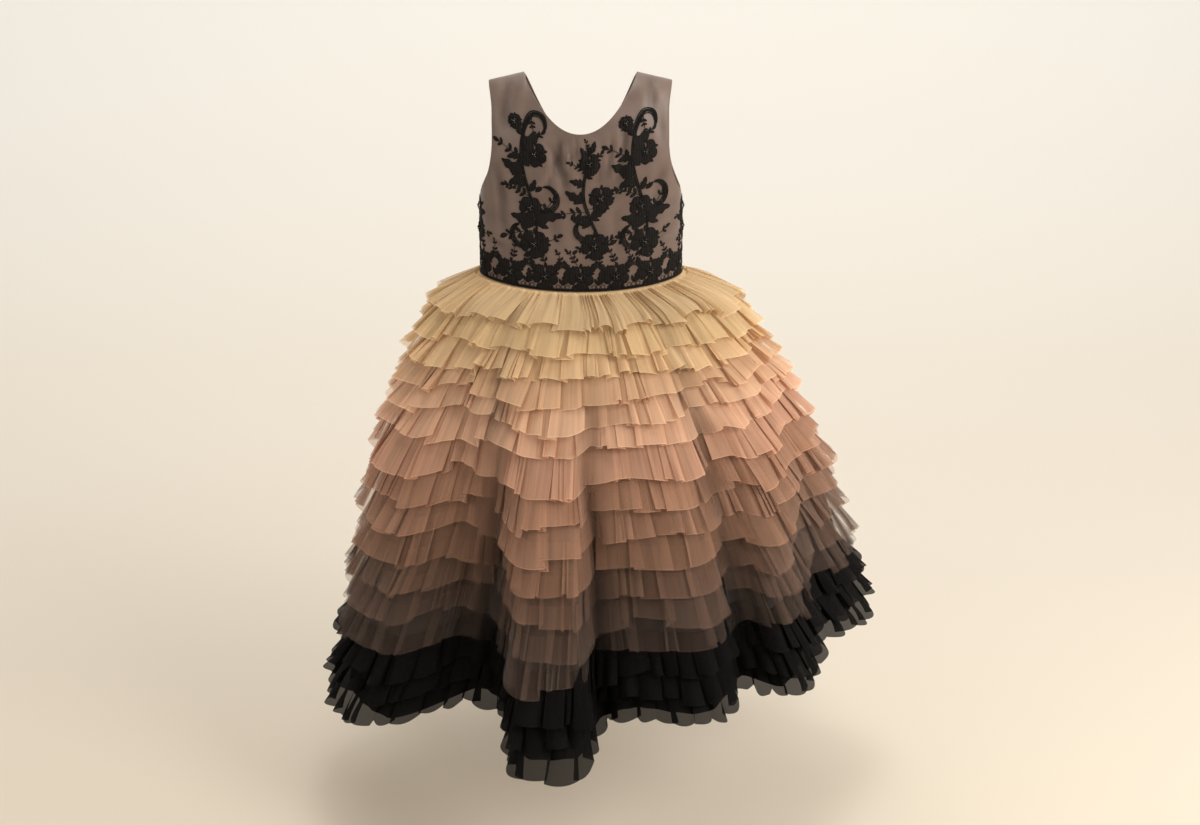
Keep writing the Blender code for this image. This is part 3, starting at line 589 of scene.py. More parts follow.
def tulle(name, colour, cover, sheen):
    """A see-through net; cover is how much of what lies behind one layer of it hides."""
    made, tree, shader = new_material(
        name, Roughness=0.9, Sheen_Weight=sheen, Specular_IOR_Level=0.1, Alpha=cover
    )
    place = cloth_place(tree)
    along_streaks = stretched(tree, place, (1 / STREAK_PITCH, STREAK_DRAW, 1.0))
    streaks = noise(tree, along_streaks, Scale=0.55, Detail=4.0, Roughness=0.62)
    # light and dark streaks: partly net lying double, partly painted shade and highlight on gathers
    stops = [(0.32, tinted(colour, 0.80)), (0.50, colour), (0.68, tinted(colour, 1.15))]
    edge_highlight = one_axis(tree, place, "Y", *EDGE_HIGHLIGHT)
    # painted highlight: the colour turns 1.3 times lighter right at the cut edge
    highlighted = blend_colours(tree, edge_highlight, colour_ramp(tree, streaks, stops), tinted(colour, 1.3))
    # painted shade from the furrows and valleys darkens the net's colour
    tree.links.new(with_painted_shade(tree, highlighted), shader.inputs["Base Color"])
    net = add_node(tree, "ShaderNodeTexVoronoi", feature="DISTANCE_TO_EDGE", Scale=1 / NET_CELL)
    tree.links.new(place, net.inputs["Vector"])
    grain = relief(tree, net.outputs["Distance"], 0.06, 0.0002)
    tree.links.new(relief(tree, streaks, 0.2, 0.0006, grain), shader.inputs["Normal"])
    return made


print("net cell, mm:", 1000 * NET_CELL)

# %% [markdown]
# ## Colours from yellow to black
#
# The ruffles shade from yellow at the waist over peach and blush to a dark nude, and the last three
# are black. A dyer would dip the whole skirt, but here each ruffle is cut from its own cloth, so each
# has a row of its own in one table. The lower ones also cover less, so the dark skirt under them
# shows through and the step to black is soft.

# %% Colours of the ruffles, from the waist to the hem
# lower edge on the base skirt, turn of its waves, colour, cover
RUFFLES = {
    "tier_01": (-0.298, 0.0, (0.75, 0.540, 0.305), 0.55),
    "tier_02": (-0.330, 0.4, (0.78, 0.555, 0.300), 0.54),
    "tier_03": (-0.358, 0.1, (0.87, 0.600, 0.340), 0.54),
    "tier_04": (-0.385, 0.7, (0.75, 0.475, 0.285), 0.54),
    "tier_05": (-0.414, 0.3, (0.83, 0.530, 0.340), 0.54),
    "tier_06": (-0.446, 0.9, (0.83, 0.505, 0.330), 0.54),
    "tier_07": (-0.487, 0.2, (0.70, 0.397, 0.262), 0.53),
    "tier_08": (-0.526, 0.6, (0.50, 0.268, 0.168), 0.53),
    "tier_09": (-0.564, 0.0, (0.445, 0.240, 0.155), 0.50),
    "tier_10": (-0.602, 0.5, (0.350, 0.188, 0.119), 0.47),
    "tier_11": (-0.638, 0.8, (0.235, 0.132, 0.089), 0.41),
    "tier_12": (-0.675, 0.2, (0.175, 0.106, 0.076), 0.36),
    "tier_13": (-0.714, 0.6, (0.115, 0.076, 0.058), 0.31),
    "hem_black_1": (-0.748, 0.1, (0.0050, 0.0042, 0.0040), 0.92),
    "hem_black_2": (-0.779, 0.7, (0.0050, 0.0042, 0.0040), 0.90),
    "hem_black_3": (-0.812, 0.4, (0.0060, 0.0052, 0.0048), 0.90),
}
STAND_OFF = 0.022  # of a ruffle's lower edge from the base skirt
FIRST_STAND_OFF = 0.021
FIRST_TOP = -0.264
RUFFLE_COVER = 0.56  # how far a ruffle starts above the edge over it, as a share of their step
SEAT = 0.0016  # of a ruffle's seam from the base skirt
FIRST_SEAT = 0.0030
WAVE_HEIGHT = 0.0065
WAVES = 12
FURROW_DIP = 0.015
print("ruffles:", len(RUFFLES))

# %% [markdown]
# ## A gathered ruffle
#
# A ruffle is a long strip, gathered at its seam and cut straight at its edge. Its gathers open into
# flat pleats with crisp folds, some wide and some narrow, each lapping over the next. They could be
# modelled one by one, but the skirt has thousands. So the strip is laid out first as a smooth ring,
# with a column for each step of each pleat, and Geometry Nodes then fold it: the rule is the same
# for every pleat, and only a few random numbers tell them apart.

# %% Short calls for Geometry Nodes
class Tree:
    """A Geometry Nodes tree under construction, with named inputs and short calls for its nodes."""

    def __init__(self, name, inputs):
        self.group = bpy.data.node_groups.new(name, "GeometryNodeTree")
        face = self.group.interface
        face.new_socket("Geometry", in_out="INPUT", socket_type="NodeSocketGeometry")
        for label, kind, value in inputs:
            socket = face.new_socket(label, in_out="INPUT", socket_type="NodeSocket" + kind)
            if value is not None:
                socket.default_value = value
        face.new_socket("Geometry", in_out="OUTPUT", socket_type="NodeSocketGeometry")
        self.inputs = self.group.nodes.new("NodeGroupInput").outputs
        self.end = self.group.nodes.new("NodeGroupOutput")

    def feed(self, socket, value):
        """Links a socket to an input, or sets the input to a value."""
        if isinstance(value, bpy.types.NodeSocket):
            self.group.links.new(value, socket)
        elif value is not None:
            socket.default_value = value

    def node(self, kind, *values, **settings):
        """Adds a node, feeds its inputs in order, and returns its first output."""
        made = self.group.nodes.new(kind)
        for name, value in settings.items():
            setattr(made, name, value)
        for socket, value in zip([socket for socket in made.inputs if socket.enabled], values):
            self.feed(socket, value)
        return [socket for socket in made.outputs if socket.enabled][0]

    def math(self, operation, *values):
        """A sum of one or more numbers."""
        return self.node("ShaderNodeMath", *values, operation=operation)

    def operation(self, name):
        """A short call for one kind of sum."""
        return lambda *values: self.math(name, *values)

    def vector(self, operation, first, second):
        """A sum of two directions, or of a direction and a number."""
        made = self.group.nodes.new("ShaderNodeVectorMath")
        made.operation = operation
        self.feed(made.inputs[0], first)
        self.feed(made.inputs["Scale" if operation == "SCALE" else 1], second)
        return made.outputs[0]

    def attribute(self, name, kind="FLOAT"):
        """A value that the mesh carries at each of its points."""
        return self.node("GeometryNodeInputNamedAttribute", name, data_type=kind)

    def chance(self, low, high, number, step):
        """A random number for each pleat, the same each time for the same seed."""
        seed = self.math("ADD", self.inputs["Seed"], step)
        return self.node("FunctionNodeRandomValue", low, high, number, seed, data_type="FLOAT")

    def set_on_points(self, shape, size, turn):
        """Sets a copy of a shape on each point of the piece, with a size and a turn."""
        points = self.node("GeometryNodeMeshToPoints", self.inputs["Geometry"])
        placed = self.group.nodes.new("GeometryNodeInstanceOnPoints")
        for label, value in (("Points", points), ("Instance", shape), ("Scale", size), ("Rotation", turn)):
            self.feed(placed.inputs[label], value)
        return placed.outputs[0]

    def finish(self, geometry):
        """Makes all instances real, sets the material and ends the tree."""
        real = self.node("GeometryNodeRealizeInstances", geometry)
        painted = self.node("GeometryNodeSetMaterial", real)
        self.feed(painted.node.inputs["Material"], self.inputs["Material"])
        self.feed(self.end.inputs["Geometry"], painted)
        return self.group


print("short calls:", [name for name in vars(Tree) if not name.startswith("_")])

# %% Start the tree of the pleats
PLEAT_INPUTS = [
    ("Fold Height", "Float", 0.0045),
    ("Overlap", "Float", 0.008),
    ("Bulge", "Float", 0.2),
    ("Gather Height", "Float", 0.0008),
    ("Edge Drift", "Float", 0.002),
    ("Group Drift", "Float", 0.005),
    ("Scallop", "Float", 0.0005),
    ("Sway", "Float", 0.004),
    ("Flutter", "Float", 0.006),
    ("Pleats", "Float", 100.0),
    ("Seed", "Int", 1),
    ("Material", "Material", None),
]
folding = Tree("fold_into_pleats", PLEAT_INPUTS)
inputs, chance = folding.inputs, folding.chance
add, minus, times, over = map(folding.operation, ("ADD", "SUBTRACT", "MULTIPLY", "DIVIDE"))
times_add, power, sine, wrap = map(folding.operation, ("MULTIPLY_ADD", "POWER", "SINE", "MODULO"))
smaller, larger, whole, rest = map(folding.operation, ("MINIMUM", "MAXIMUM", "FLOOR", "FRACT"))

# pleat counts the pleats and the place in each, drop goes from the seam, 0, to the edge, 1
pleat, drop, width = map(folding.attribute, ("pleat", "drop", "width"))
number, run = whole(pleat), rest(pleat)
after = wrap(add(number, 1.0), inputs["Pleats"])
before = wrap(add(minus(number, 1.0), inputs["Pleats"]), inputs["Pleats"])
print("inputs of the pleats:", [label for label, _, _ in PLEAT_INPUTS])

# %% [markdown]
# ## How pleats lap over each other
#
# At each line between two pleats one of them lies on top, and a part of the strip turns back under
# it. A real pleat is folded by hand and stitched down, one by one. Here each line draws a random
# number that says which side is on top and how far it laps over. Both neighbours read the number of
# the same line, so their points meet and the strip stays whole.

# %% Across: pleats lap over their neighbours
FOLD_SHARE = 1 / 6  # share of a pleat's strip that turns under at a fold
MOST_OVERLAP = 0.45  # of the pleat's width
laps_before = folding.math("GREATER_THAN", chance(-1.0, 1.0, number, 1), 0.0)
laps_after = folding.math("LESS_THAN", chance(-1.0, 1.0, after, 1), 0.0)
widest = times(width, MOST_OVERLAP)
lap_before = smaller(times(inputs["Overlap"], chance(0.4, 1.6, number, 2)), widest)
lap_after = smaller(times(inputs["Overlap"], chance(0.4, 1.6, after, 2)), widest)
lap_before, lap_after = times(lap_before, laps_before), times(lap_after, laps_after)

# the pleat's face runs between its two folds; the rest of the strip turns back under it
length = minus(1.0, times(add(laps_before, laps_after), FOLD_SHARE))
face = over(minus(run, times(laps_before, FOLD_SHARE)), length)
face = smaller(larger(face, 0.0), 1.0)
under_before = times(larger(minus(1.0, over(run, FOLD_SHARE)), 0.0), laps_before)
under_after = times(larger(minus(1.0, over(minus(1.0, run), FOLD_SHARE)), 0.0), laps_after)
full = add(width, add(lap_before, lap_after))
across = minus(times(face, full), times(run, width))
across = minus(across, times(lap_before, minus(1.0, under_before)))
across = minus(across, times(lap_after, under_after))

# each line leans a little to one side, more so towards the edge
leans = chance(-1.0, 1.0, number, 3), chance(-1.0, 1.0, after, 3)
lean = folding.node("ShaderNodeMapRange", run, 0.0, 1.0, *leans)
across = add(across, times(lean, times(inputs["Sway"], times(drop, drop))))
print("nodes so far:", len(folding.group.nodes))

# %% [markdown]
# ## How far pleats stand out
#
# A fold that laps over stands out from the skirt, and one that is lapped over lies in. Between two
# folds the net bows out, more so where it is cut full, and close under the seam the gathers ripple.
# Each of these could be sculpted, but each has one height that can be set for a whole ruffle, so
# they are sums of plain curves, and a cloudy pattern makes the whole edge flutter.

# %% Out: folds, bows, gathers and flutter
height = times(inputs["Fold Height"], times_add(power(drop, 1.5), 0.78, 0.22))
rise_before = times(height, chance(0.5, 1.4, number, 4))
rise_after = times(height, chance(0.5, 1.4, after, 4))
first = times(rise_before, times_add(laps_before, 2.0, -1.0))
last = times(rise_after, times_add(laps_after, 2.0, -1.0))
out = folding.node("ShaderNodeMapRange", face, 0.0, 1.0, first, last)
turned_back = add(times(rise_before, under_before), times(rise_after, under_after))
out = minus(out, times(turned_back, 2.0))
bow = times(sine(times(face, math.pi)), times(inputs["Bulge"], height))
out = add(out, times(bow, chance(0.3, 1.7, number, 5)))
gathers = times(sine(times(run, 4 * math.pi)), power(minus(1.0, drop), 1.6))
out = add(out, times(gathers, inputs["Gather Height"]))
position = folding.node("GeometryNodeInputPosition")
cloud = folding.node("ShaderNodeTexNoise", position, noise_dimensions="3D")
cloud.node.inputs["Scale"].default_value = 16.0
cloud.node.inputs["Detail"].default_value = 1.0
out = add(out, times(minus(cloud, 0.5), times(inputs["Flutter"], drop)))
print("nodes so far:", len(folding.group.nodes))

# %% [markdown]
# ## How the cut edge falls
#
# A ruffle is cut straight, but its gathers were pulled unevenly, so groups of pleats hang lower than
# others, and each pleat's own edge is a little round. Two neighbours that hang differently would
# tear the strip between them. So the step from one to the other is laid into the part that turns
# under, where a fold hides it.

# %% Down: groups, single pleats and round edges
GROUP = 4.0  # pleats that hang together


def hang_of(number):
    """How much lower a pleat hangs, with its group and by itself."""
    shared = times(inputs["Group Drift"], chance(-1.0, 1.0, whole(over(number, GROUP)), 6))
    return times_add(inputs["Edge Drift"], chance(-1.0, 1.0, number, 7), shared)


own = hang_of(number)
fall = add(own, times(under_before, minus(hang_of(before), own)))
fall = add(fall, times(under_after, minus(hang_of(after), own)))
round_edge = times(inputs["Scallop"], sine(times(face, math.pi)))
round_edge = times(round_edge, smaller(times(width, 40.0), 1.0))
fall = add(fall, times(round_edge, chance(0.2, 1.6, number, 8)))
fall = times(fall, power(drop, 1.5))

# move each point along its three directions, and end the tree
moves = [
    folding.vector("SCALE", folding.attribute(way, "FLOAT_VECTOR"), distance)
    for way, distance in (("along", across), ("outward", out), ("downward", fall))
]
moved = folding.node("GeometryNodeSetPosition", inputs["Geometry"])
offset = folding.vector("ADD", folding.vector("ADD", moves[0], moves[1]), moves[2])
folding.feed(moved.node.inputs["Offset"], offset)
PLEATS = folding.finish(moved)
print("nodes in the pleat tree:", len(PLEATS.nodes))

# %% Run a tree on a piece
def apply_nodes(piece, group, values):
    """Runs a Geometry Nodes tree on a piece once and keeps the result as its plain mesh."""
    modifier = piece.modifiers.new("nodes", "NODES")
    modifier.node_group = group
    sockets = {item.name: item.identifier for item in group.interface.items_tree if item.in_out == "INPUT"}
    for label, value in values.items():
        modifier[sockets[label]] = value
    bpy.context.view_layer.update()
    graph = bpy.context.evaluated_depsgraph_get()
    result = bpy.data.meshes.new_from_object(piece.evaluated_get(graph))
    piece.modifiers.clear()
    old = piece.data
    piece.data = result
    bpy.data.meshes.remove(old)
    result.name = piece.name


print("sockets are set by their identifiers, such as", PLEATS.interface.items_tree[1].identifier)

# %% [markdown]
# ## Sixteen ruffles, no two alike
#
# At the waist a ruffle is gathered tightly and stands off in small round pleats. Further down it is
# pressed into flat, wider ones. The three black ruffles at the hem aren't pressed, so they stand in
# round flutes. Each could have a function of its own, but they differ only in a few numbers. One
# function makes them all, and a short table says which kind of pleats each of them gets. Their random
# numbers start from different seeds, so no two ruffles line up.

# %% Kinds of pleats
WAIST_PLEATS = {"Fold Height": 0.0044, "Gather Height": 0.0024, "Bulge": 1.0, "Group Drift": 0.006}
FLAT_PLEATS = {
    "Fold Height": 0.0044, "Bulge": 0.7, "Scallop": 0.0012, "Group Drift": 0.007, "Overlap": 0.010
}
ROUND_FLUTES = {
    "Fold Height": 0.0055, "Overlap": 0.0035, "Bulge": 1.4, "Group Drift": 0.007,
    "Edge Drift": 0.004, "Scallop": 0.0040, "Flutter": 0.010,
}
# first ruffle of the kind, size of its pleats, most narrow pleats in a row, folds
KINDS = [
    (1, 0.52, 4, WAIST_PLEATS),
    (2, 0.66, 4, FLAT_PLEATS),
    (5, 0.80, 4, FLAT_PLEATS),
    (8, 0.90, 4, FLAT_PLEATS),
    (14, 0.85, 0, ROUND_FLUTES),
]
WIDE_PLEAT = (0.016, 0.046)
NARROW_PLEAT = (0.006, 0.011)


def pleat_widths(length, rng, size, narrow):
    """Widths of pleats that fill a length: wide ones, with runs of up to so many narrow ones between."""
    widths = []
    while sum(widths) < length:
        widths += list(size * rng.uniform(*WIDE_PLEAT, rng.integers(1, 3)))
        widths += list(size * rng.uniform(*NARROW_PLEAT, rng.integers(0, narrow + 1)))
    return np.array(widths) * length / sum(widths)


print("kinds of pleats:", len(KINDS))

# %% Waves and lengths
def soft_wave(degrees, turn):
    """A ruffle's large waves; slow swings, three and five to a round, make them uneven."""
    drift = 0.9 * np.sin(np.radians(3 * (degrees + 180)) + 5 * turn) / 6
    phase = (degrees + 180) / 360 * WAVES + turn + drift
    uneven = 0.80 + 0.20 * np.sin(np.radians(5 * (degrees + 180)) + 9 * turn)
    return np.cos(2 * np.pi * (phase - 0.08)) * uneven


def run_along(line):
    """Distance along a line from its first point to each of its points."""
    return np.concatenate([[0], np.cumsum(np.linalg.norm(np.diff(line, axis=0), axis=1))])


def round_length(rings):
    """Length of closed rings, each a row of points."""
    return np.linalg.norm(np.roll(rings, -1, axis=-2) - rings, axis=-1).sum(axis=-1)


full_turn = np.linspace(-180, 180, 360, endpoint=False)
print("hem of the base skirt, m round:", round(float(round_length(skirt_point(full_turn, SKIRT[-1, 0]))), 2))

# %% Lay out one strip and fold it
PLEAT_STEPS = 12
STRIP_ROWS = 10
PATH_STEPS = 2881  # places along the edge where its length is measured
FIRST_SEED = 40
FULLNESS = 1.7  # cloth in the pleats for each metre of edge, on the flat map
CRISP = 38  # degrees from which a fold shows as a line
CARRIED = ("pleat", "drop", "width")
DIRECTIONS = ("along", "outward", "downward")


def make_ruffle(name, number, top, bottom, turn, finish):
    """One ruffle between two heights of the base skirt; returns it, its flat size and its pleats."""
    rng = np.random.default_rng(FIRST_SEED + number)
    size, narrow, folds = [kind[1:] for kind in KINDS if kind[0] <= number][-1]
    stand_off, seat = (FIRST_STAND_OFF, FIRST_SEAT) if number == 1 else (STAND_OFF, SEAT)

    def hang(degrees, share):
        """Points from the seam, share 0, to the lower edge, share 1."""
        height = top + (bottom - top) * share
        away = stand_off + WAVE_HEIGHT * soft_wave(degrees, turn) - FURROW_DIP * furrow(degrees, height)
        return skirt_point(degrees, height, share * away + seat * (1 - share))

    # one column for each step of each pleat
    dense = np.linspace(-180, 180, PATH_STEPS)
    run = run_along(hang(dense, 1.0))
    widths = pleat_widths(run[-1], rng, size, narrow)
    starts = np.concatenate([[0], np.cumsum(widths)])[:-1]
    step = np.arange(PLEAT_STEPS) / PLEAT_STEPS
    places = (starts[:, None] + widths[:, None] * step).ravel()
    degrees = np.interp(places, run, dense)
    share = np.linspace(0, 1, STRIP_ROWS)[:, None]
    grid = hang(degrees[None, :], share)
    depth = float(np.linalg.norm(np.diff(grid, axis=0), axis=2).sum(axis=0).mean())
    flat = np.stack(np.broadcast_arrays(places[None, :] * FULLNESS, (1 - share) * depth), axis=-1)
    faces = grid_faces(STRIP_ROWS, len(places), True)
    piece = mesh_piece(name, grid.reshape(-1, 3), faces, flat.reshape(-1, 2))

    # what the nodes read at each point
    along = unit(np.roll(grid, -1, axis=1) - np.roll(grid, 1, axis=1))
    downward = unit(np.gradient(grid, axis=0))
    girth = round_length(grid)
    pleat = np.repeat(np.arange(len(widths)), PLEAT_STEPS) + np.tile(step, len(widths))
    width = np.repeat(widths, PLEAT_STEPS) * (girth / girth[-1])[:, None]
    for label, values in zip(CARRIED, (pleat, share, width)):
        carry(piece, label, np.broadcast_to(values, grid.shape[:2]))
    for label, values in zip(DIRECTIONS, (along, unit(np.cross(downward, along)), downward)):
        carry(piece, label, values, "FLOAT_VECTOR")
    # painted shade for the furrows and valleys, which the net's finish reads
    carry(piece, "shade", furrow_shade(degrees[None, :], top + (bottom - top) * share))

    settings = {"Seed": FIRST_SEED + number, "Pleats": float(len(widths)), "Material": finish}
    apply_nodes(piece, PLEATS, {**settings, **folds})
    for unused in CARRIED + DIRECTIONS:
        piece.data.attributes.remove(piece.data.attributes[unused])
    piece.data.shade_smooth()
    piece.data.set_sharp_from_angle(angle=math.radians(CRISP))
    edge = points_of(piece)[-len(places):]
    return piece, float(round_length(edge)), depth, len(widths)


print("points across one pleat:", PLEAT_STEPS, "and down a ruffle:", STRIP_ROWS)

# %% All sixteen ruffles
ruffles = {}
above = FIRST_TOP
for number, (name, (bottom, turn, colour, cover)) in enumerate(RUFFLES.items(), start=1):
    top = FIRST_TOP if number == 1 else above + RUFFLE_COVER * (above - bottom)
    finish = tulle("tulle_" + name, colour, cover, 0.0 if name.startswith("hem") else 0.25)
    piece, length, depth, pleats = make_ruffle("ruffle_" + name, number, top, bottom, turn, finish)
    ruffles[name] = (piece, length, depth)
    above = bottom
    faces = len(piece.data.polygons)
    print(f"{name}: strip {length:.2f} m x {1000 * depth:.0f} mm, {pleats} pleats, {faces} faces")

# %% [markdown]
# ## The base skirt
#
# Under the ruffles a plain skirt carries them, and each ruffle's seam lies on it. It is nude at the
# top and black towards the hem, and that black makes the lowest coloured ruffles look dark, because
# they are thin. Two cloths with a seam could do that, but a soft change of colour fits the shading
# of the ruffles, so it is one cloth whose colour goes by height.

# %% Base skirt
SKIRT_COLUMNS = 360
SKIRT_ROWS = 40
GATHERS = 70  # small gathers round the hem
GATHER_DEPTH = 0.0012
MAP_SIZE = (0.3, 0.6)  # mean radius and slanted height, for the flat map
SKIRT_FADE = (-0.62, -0.29)  # heights between which the colour changes
SKIRT_COLOURS = [
    (0.0, (0.012, 0.010, 0.010)),
    (0.22, (0.10, 0.060, 0.042)),
    (0.5, (0.42, 0.250, 0.165)),
    (1.0, (0.66, 0.46, 0.24)),
]
around = np.linspace(-180, 180, SKIRT_COLUMNS, endpoint=False)
heights = np.linspace(SKIRT[0, 0], SKIRT[-1, 0], SKIRT_ROWS)[:, None]
share = (heights - SKIRT[0, 0]) / (SKIRT[-1, 0] - SKIRT[0, 0])
ripple = np.sin(np.radians(around * GATHERS) + 3 * np.sin(np.radians(around * 4)))
grid = skirt_point(around[None, :], heights, GATHER_DEPTH * share * ripple)
flat = np.stack(np.broadcast_arrays(np.radians(around) * MAP_SIZE[0], share * MAP_SIZE[1]), axis=-1)
faces = grid_faces(SKIRT_ROWS, SKIRT_COLUMNS, True)
base_skirt = mesh_piece("base_skirt", grid.reshape(-1, 3), faces, flat.reshape(-1, 2))

skirt_cloth, tree, shader = new_material("skirt_cloth", Roughness=0.8)
place = object_place(tree)
colour = colour_ramp(tree, one_axis(tree, place, "Z", *SKIRT_FADE), SKIRT_COLOURS)
tree.links.new(colour, shader.inputs["Base Color"])
weave = noise(tree, place, Scale=700.0, Detail=2.0)
tree.links.new(relief(tree, weave, 0.2, 0.0004), shader.inputs["Normal"])
base_skirt.data.materials.append(skirt_cloth)

# %% [markdown]
# ## The satin bodice
#
# The bodice is cut as a front and two backs, and a zip closes it at the centre back. Satin is a
# smooth, firm cloth: it has no folds of its own, only soft creases where it pulls away from the
# neckline and the armholes. Each panel is a fine grid on the form of its solid. The creases are
# listed one by one, in a table, because cloth under tension makes few of them and each has its
# reason.

# %% Creases of the satin
# panel (-1 front, 1 back), from x and height, to x and height, half width, depth
CREASES = np.array(
    [
        (-1, -0.004, -0.074, -0.002, -0.128, 0.0030, 0.0016),
        (-1, 0.006, -0.073, 0.010, -0.112, 0.0028, 0.0013),
        (-1, -0.014, -0.076, -0.010, -0.120, 0.0030, 0.0013),
        (-1, -0.036, -0.084, -0.014, -0.150, 0.0065, 0.0042),
        (-1, -0.026, -0.080, -0.022, -0.130, 0.0045, 0.0020),
        (-1, 0.058, -0.070, 0.046, -0.145, 0.0065, 0.0042),
        (-1, 0.042, -0.076, 0.034, -0.135, 0.0045, 0.0030),
        (-1, -0.103, -0.140, -0.096, -0.215, 0.0060, 0.0018),
        (-1, -0.022, -0.080, -0.046, -0.155, 0.0055, 0.0030),
        (-1, -0.008, -0.090, -0.020, -0.135, 0.0045, 0.0017),
        (-1, 0.030, -0.078, 0.022, -0.140, 0.0048, 0.0027),
        (-1, 0.044, -0.070, 0.030, -0.150, 0.0070, 0.0020),
        (-1, 0.056, -0.060, 0.062, -0.118, 0.0050, 0.0014),
        (-1, -0.050, -0.058, -0.066, -0.110, 0.0060, 0.0015),
        (-1, -0.092, -0.010, -0.096, -0.075, 0.0070, 0.0019),
        (-1, -0.080, -0.014, -0.084, -0.052, 0.0040, 0.0010),
        (-1, 0.090, -0.010, 0.094, -0.070, 0.0060, 0.0017),
        (-1, 0.102, -0.030, 0.104, -0.090, 0.0050, 0.0012),
        (-1, -0.108, -0.112, -0.094, -0.170, 0.0060, 0.0019),
        (-1, 0.106, -0.118, 0.090, -0.176, 0.0060, 0.0017),
        (-1, -0.124, -0.205, -0.092, -0.222, 0.0050, 0.0014),
        (-1, 0.122, -0.190, 0.094, -0.212, 0.0050, 0.0014),
        (-1, -0.036, -0.160, -0.030, -0.225, 0.0070, 0.0012),
        (-1, 0.046, -0.170, 0.050, -0.232, 0.0060, 0.0010),
        (1, -0.034, -0.112, -0.058, -0.170, 0.0060, 0.0019),
        (1, 0.036, -0.116, 0.062, -0.178, 0.0065, 0.0020),
        (1, -0.014, -0.150, -0.018, -0.235, 0.0050, 0.0014),
        (1, 0.015, -0.142, 0.020, -0.225, 0.0050, 0.0015),
        (1, -0.090, -0.012, -0.095, -0.080, 0.0060, 0.0015),
        (1, 0.092, -0.010, 0.094, -0.076, 0.0065, 0.0017),
        (1, -0.106, -0.116, -0.082, -0.180, 0.0060, 0.0019),
        (1, 0.107, -0.112, 0.086, -0.172, 0.0060, 0.0017),
        (1, -0.122, -0.200, -0.080, -0.220, 0.0055, 0.0015),
        (1, 0.120, -0.214, 0.076, -0.206, 0.0055, 0.0014),
    ]
)


def crease_depth(x, height, side):
    """How far creases push the satin in (below 0) or out (above 0)."""
    x, height, side = np.broadcast_arrays(x, height, side)
    total = np.zeros(x.shape)
    for panel, x0, z0, x1, z1, half, depth in CREASES:
        run = np.array((x1 - x0, z1 - z0))
        length = float(np.hypot(*run))
        run = run / length
        along = ((x - x0) * run[0] + (height - z0) * run[1]) / length
        beside = ((x - x0) * run[1] - (height - z0) * run[0]) / half
        # a trough that is deepest just before its middle, with a low ridge on each side
        ends = np.clip(1 - np.abs(2 * along - 0.85) ** 2.5, 0, 1)
        ridges = 0.55 * np.exp(-((beside - 1.9) ** 2)) + 0.4 * np.exp(-((beside + 1.8) ** 2))
        total += np.where(side == panel, depth * ends * (ridges - np.exp(-(beside**2))), 0.0)
    return total


print("creases:", len(CREASES))

# %% Grids of the panels
PANEL_COLUMNS = 45  # from the centre to the side
PANEL_ROWS = 56
HALVINGS = 40  # steps of the search for a column's upper end
STRAP_EDGE = ARMHOLE_HALF_WIDTHS[-1]
STRAP_SHARE = NECK_HALF_WIDTH / STRAP_EDGE


def top_height(share, neck_drop):
    """Where each column ends: at the shoulder seam, or at the neckline."""
    low, high = np.full(share.shape, -neck_drop), np.zeros(share.shape)
    for _ in range(HALVINGS):
        middle = (low + high) / 2
        x = share * edge_half_width(middle)
        under = -neck_drop * (1 - np.minimum(1.0, x / NECK_HALF_WIDTH) ** NECK_ROUNDNESS) > middle
        low, high = np.where(under, middle, low), np.where(under, high, middle)
    return np.where(share >= STRAP_SHARE, shoulder_line(share * STRAP_EDGE), (low + high) / 2)


def half_shares():
    """Shares of the half width from the centre to the side, with one column at the neck's end."""
    shares = rounded_square(np.radians(np.linspace(90, 0, PANEL_COLUMNS)), SQUARENESS)[0]
    shares[0] = 0.0
    shares[np.abs(shares - STRAP_SHARE).argmin()] = STRAP_SHARE
    return shares


def panel_grid(shares, side, neck_drop):
    """Points of one panel, row by row from its upper edge to the waist, with its creases."""
    top = top_height(np.abs(shares), neck_drop)
    bottom = waist_height(shares * WAIST_HALF_WIDTH)
    fall = 1 - np.sin(np.pi / 2 * (1 - np.arange(PANEL_ROWS) / (PANEL_ROWS - 1)))[:, None]
    height = top + (bottom - top) * fall
    grid = body_point(shares * edge_half_width(height), height, side)
    out = unit(np.cross(np.gradient(grid, axis=0), np.gradient(grid, axis=1)))
    return grid + out * crease_depth(grid[..., 0], height, side)[..., None]


half = half_shares()
# shares of the half width, side, drop of the neckline
PANELS = {
    "bodice_front": (np.concatenate([-half[:0:-1], half]), -1, NECK_DROP_FRONT),
    "bodice_back_right": (half[::-1], 1, NECK_DROP_BACK),
    "bodice_back_left": (-half, 1, NECK_DROP_BACK),
}
print("columns of the panels:", [len(shares) for shares, _, _ in PANELS.values()])

# %% [markdown]
# ## From a grid to a panel of cloth
#
# A grid has no wall, so each panel is thickened to the satin's 1.5 mm. Along the neckline and the
# armholes the satin is turned in, and that makes a narrow round roll. It could be cut from the wall
# itself, but a thin tube along the edge is simpler, and it hides the wall's cut. Each point also
# carries painted shade from its crease: the satin's colour is darker in a trough and a little
# lighter on the low ridges beside it.

# %% Turned edges and walls
EDGE_ROLL = 0.0010
ROLL_SIDES = 8
WALL_CRISP = 50  # degrees from which an edge of the wall stays sharp
NEAR = 1e-9


def rolled_edge(path, radius):
    """Points and faces of the thin roll that a turned edge makes along a path."""
    along = unit(np.gradient(path, axis=0))
    side = unit(np.cross(along, (0.0, 0.0, 1.0) + 0.1 * along))
    other = np.cross(along, side)
    turns = np.linspace(0, 2 * np.pi, ROLL_SIDES, endpoint=False)[None, :, None]
    ring = side[:, None] * np.cos(turns) + other[:, None] * np.sin(turns)
    points = (path[:, None] + radius * ring).reshape(-1, 3)
    return points, turned_over(grid_faces(len(path), ROLL_SIDES, True))


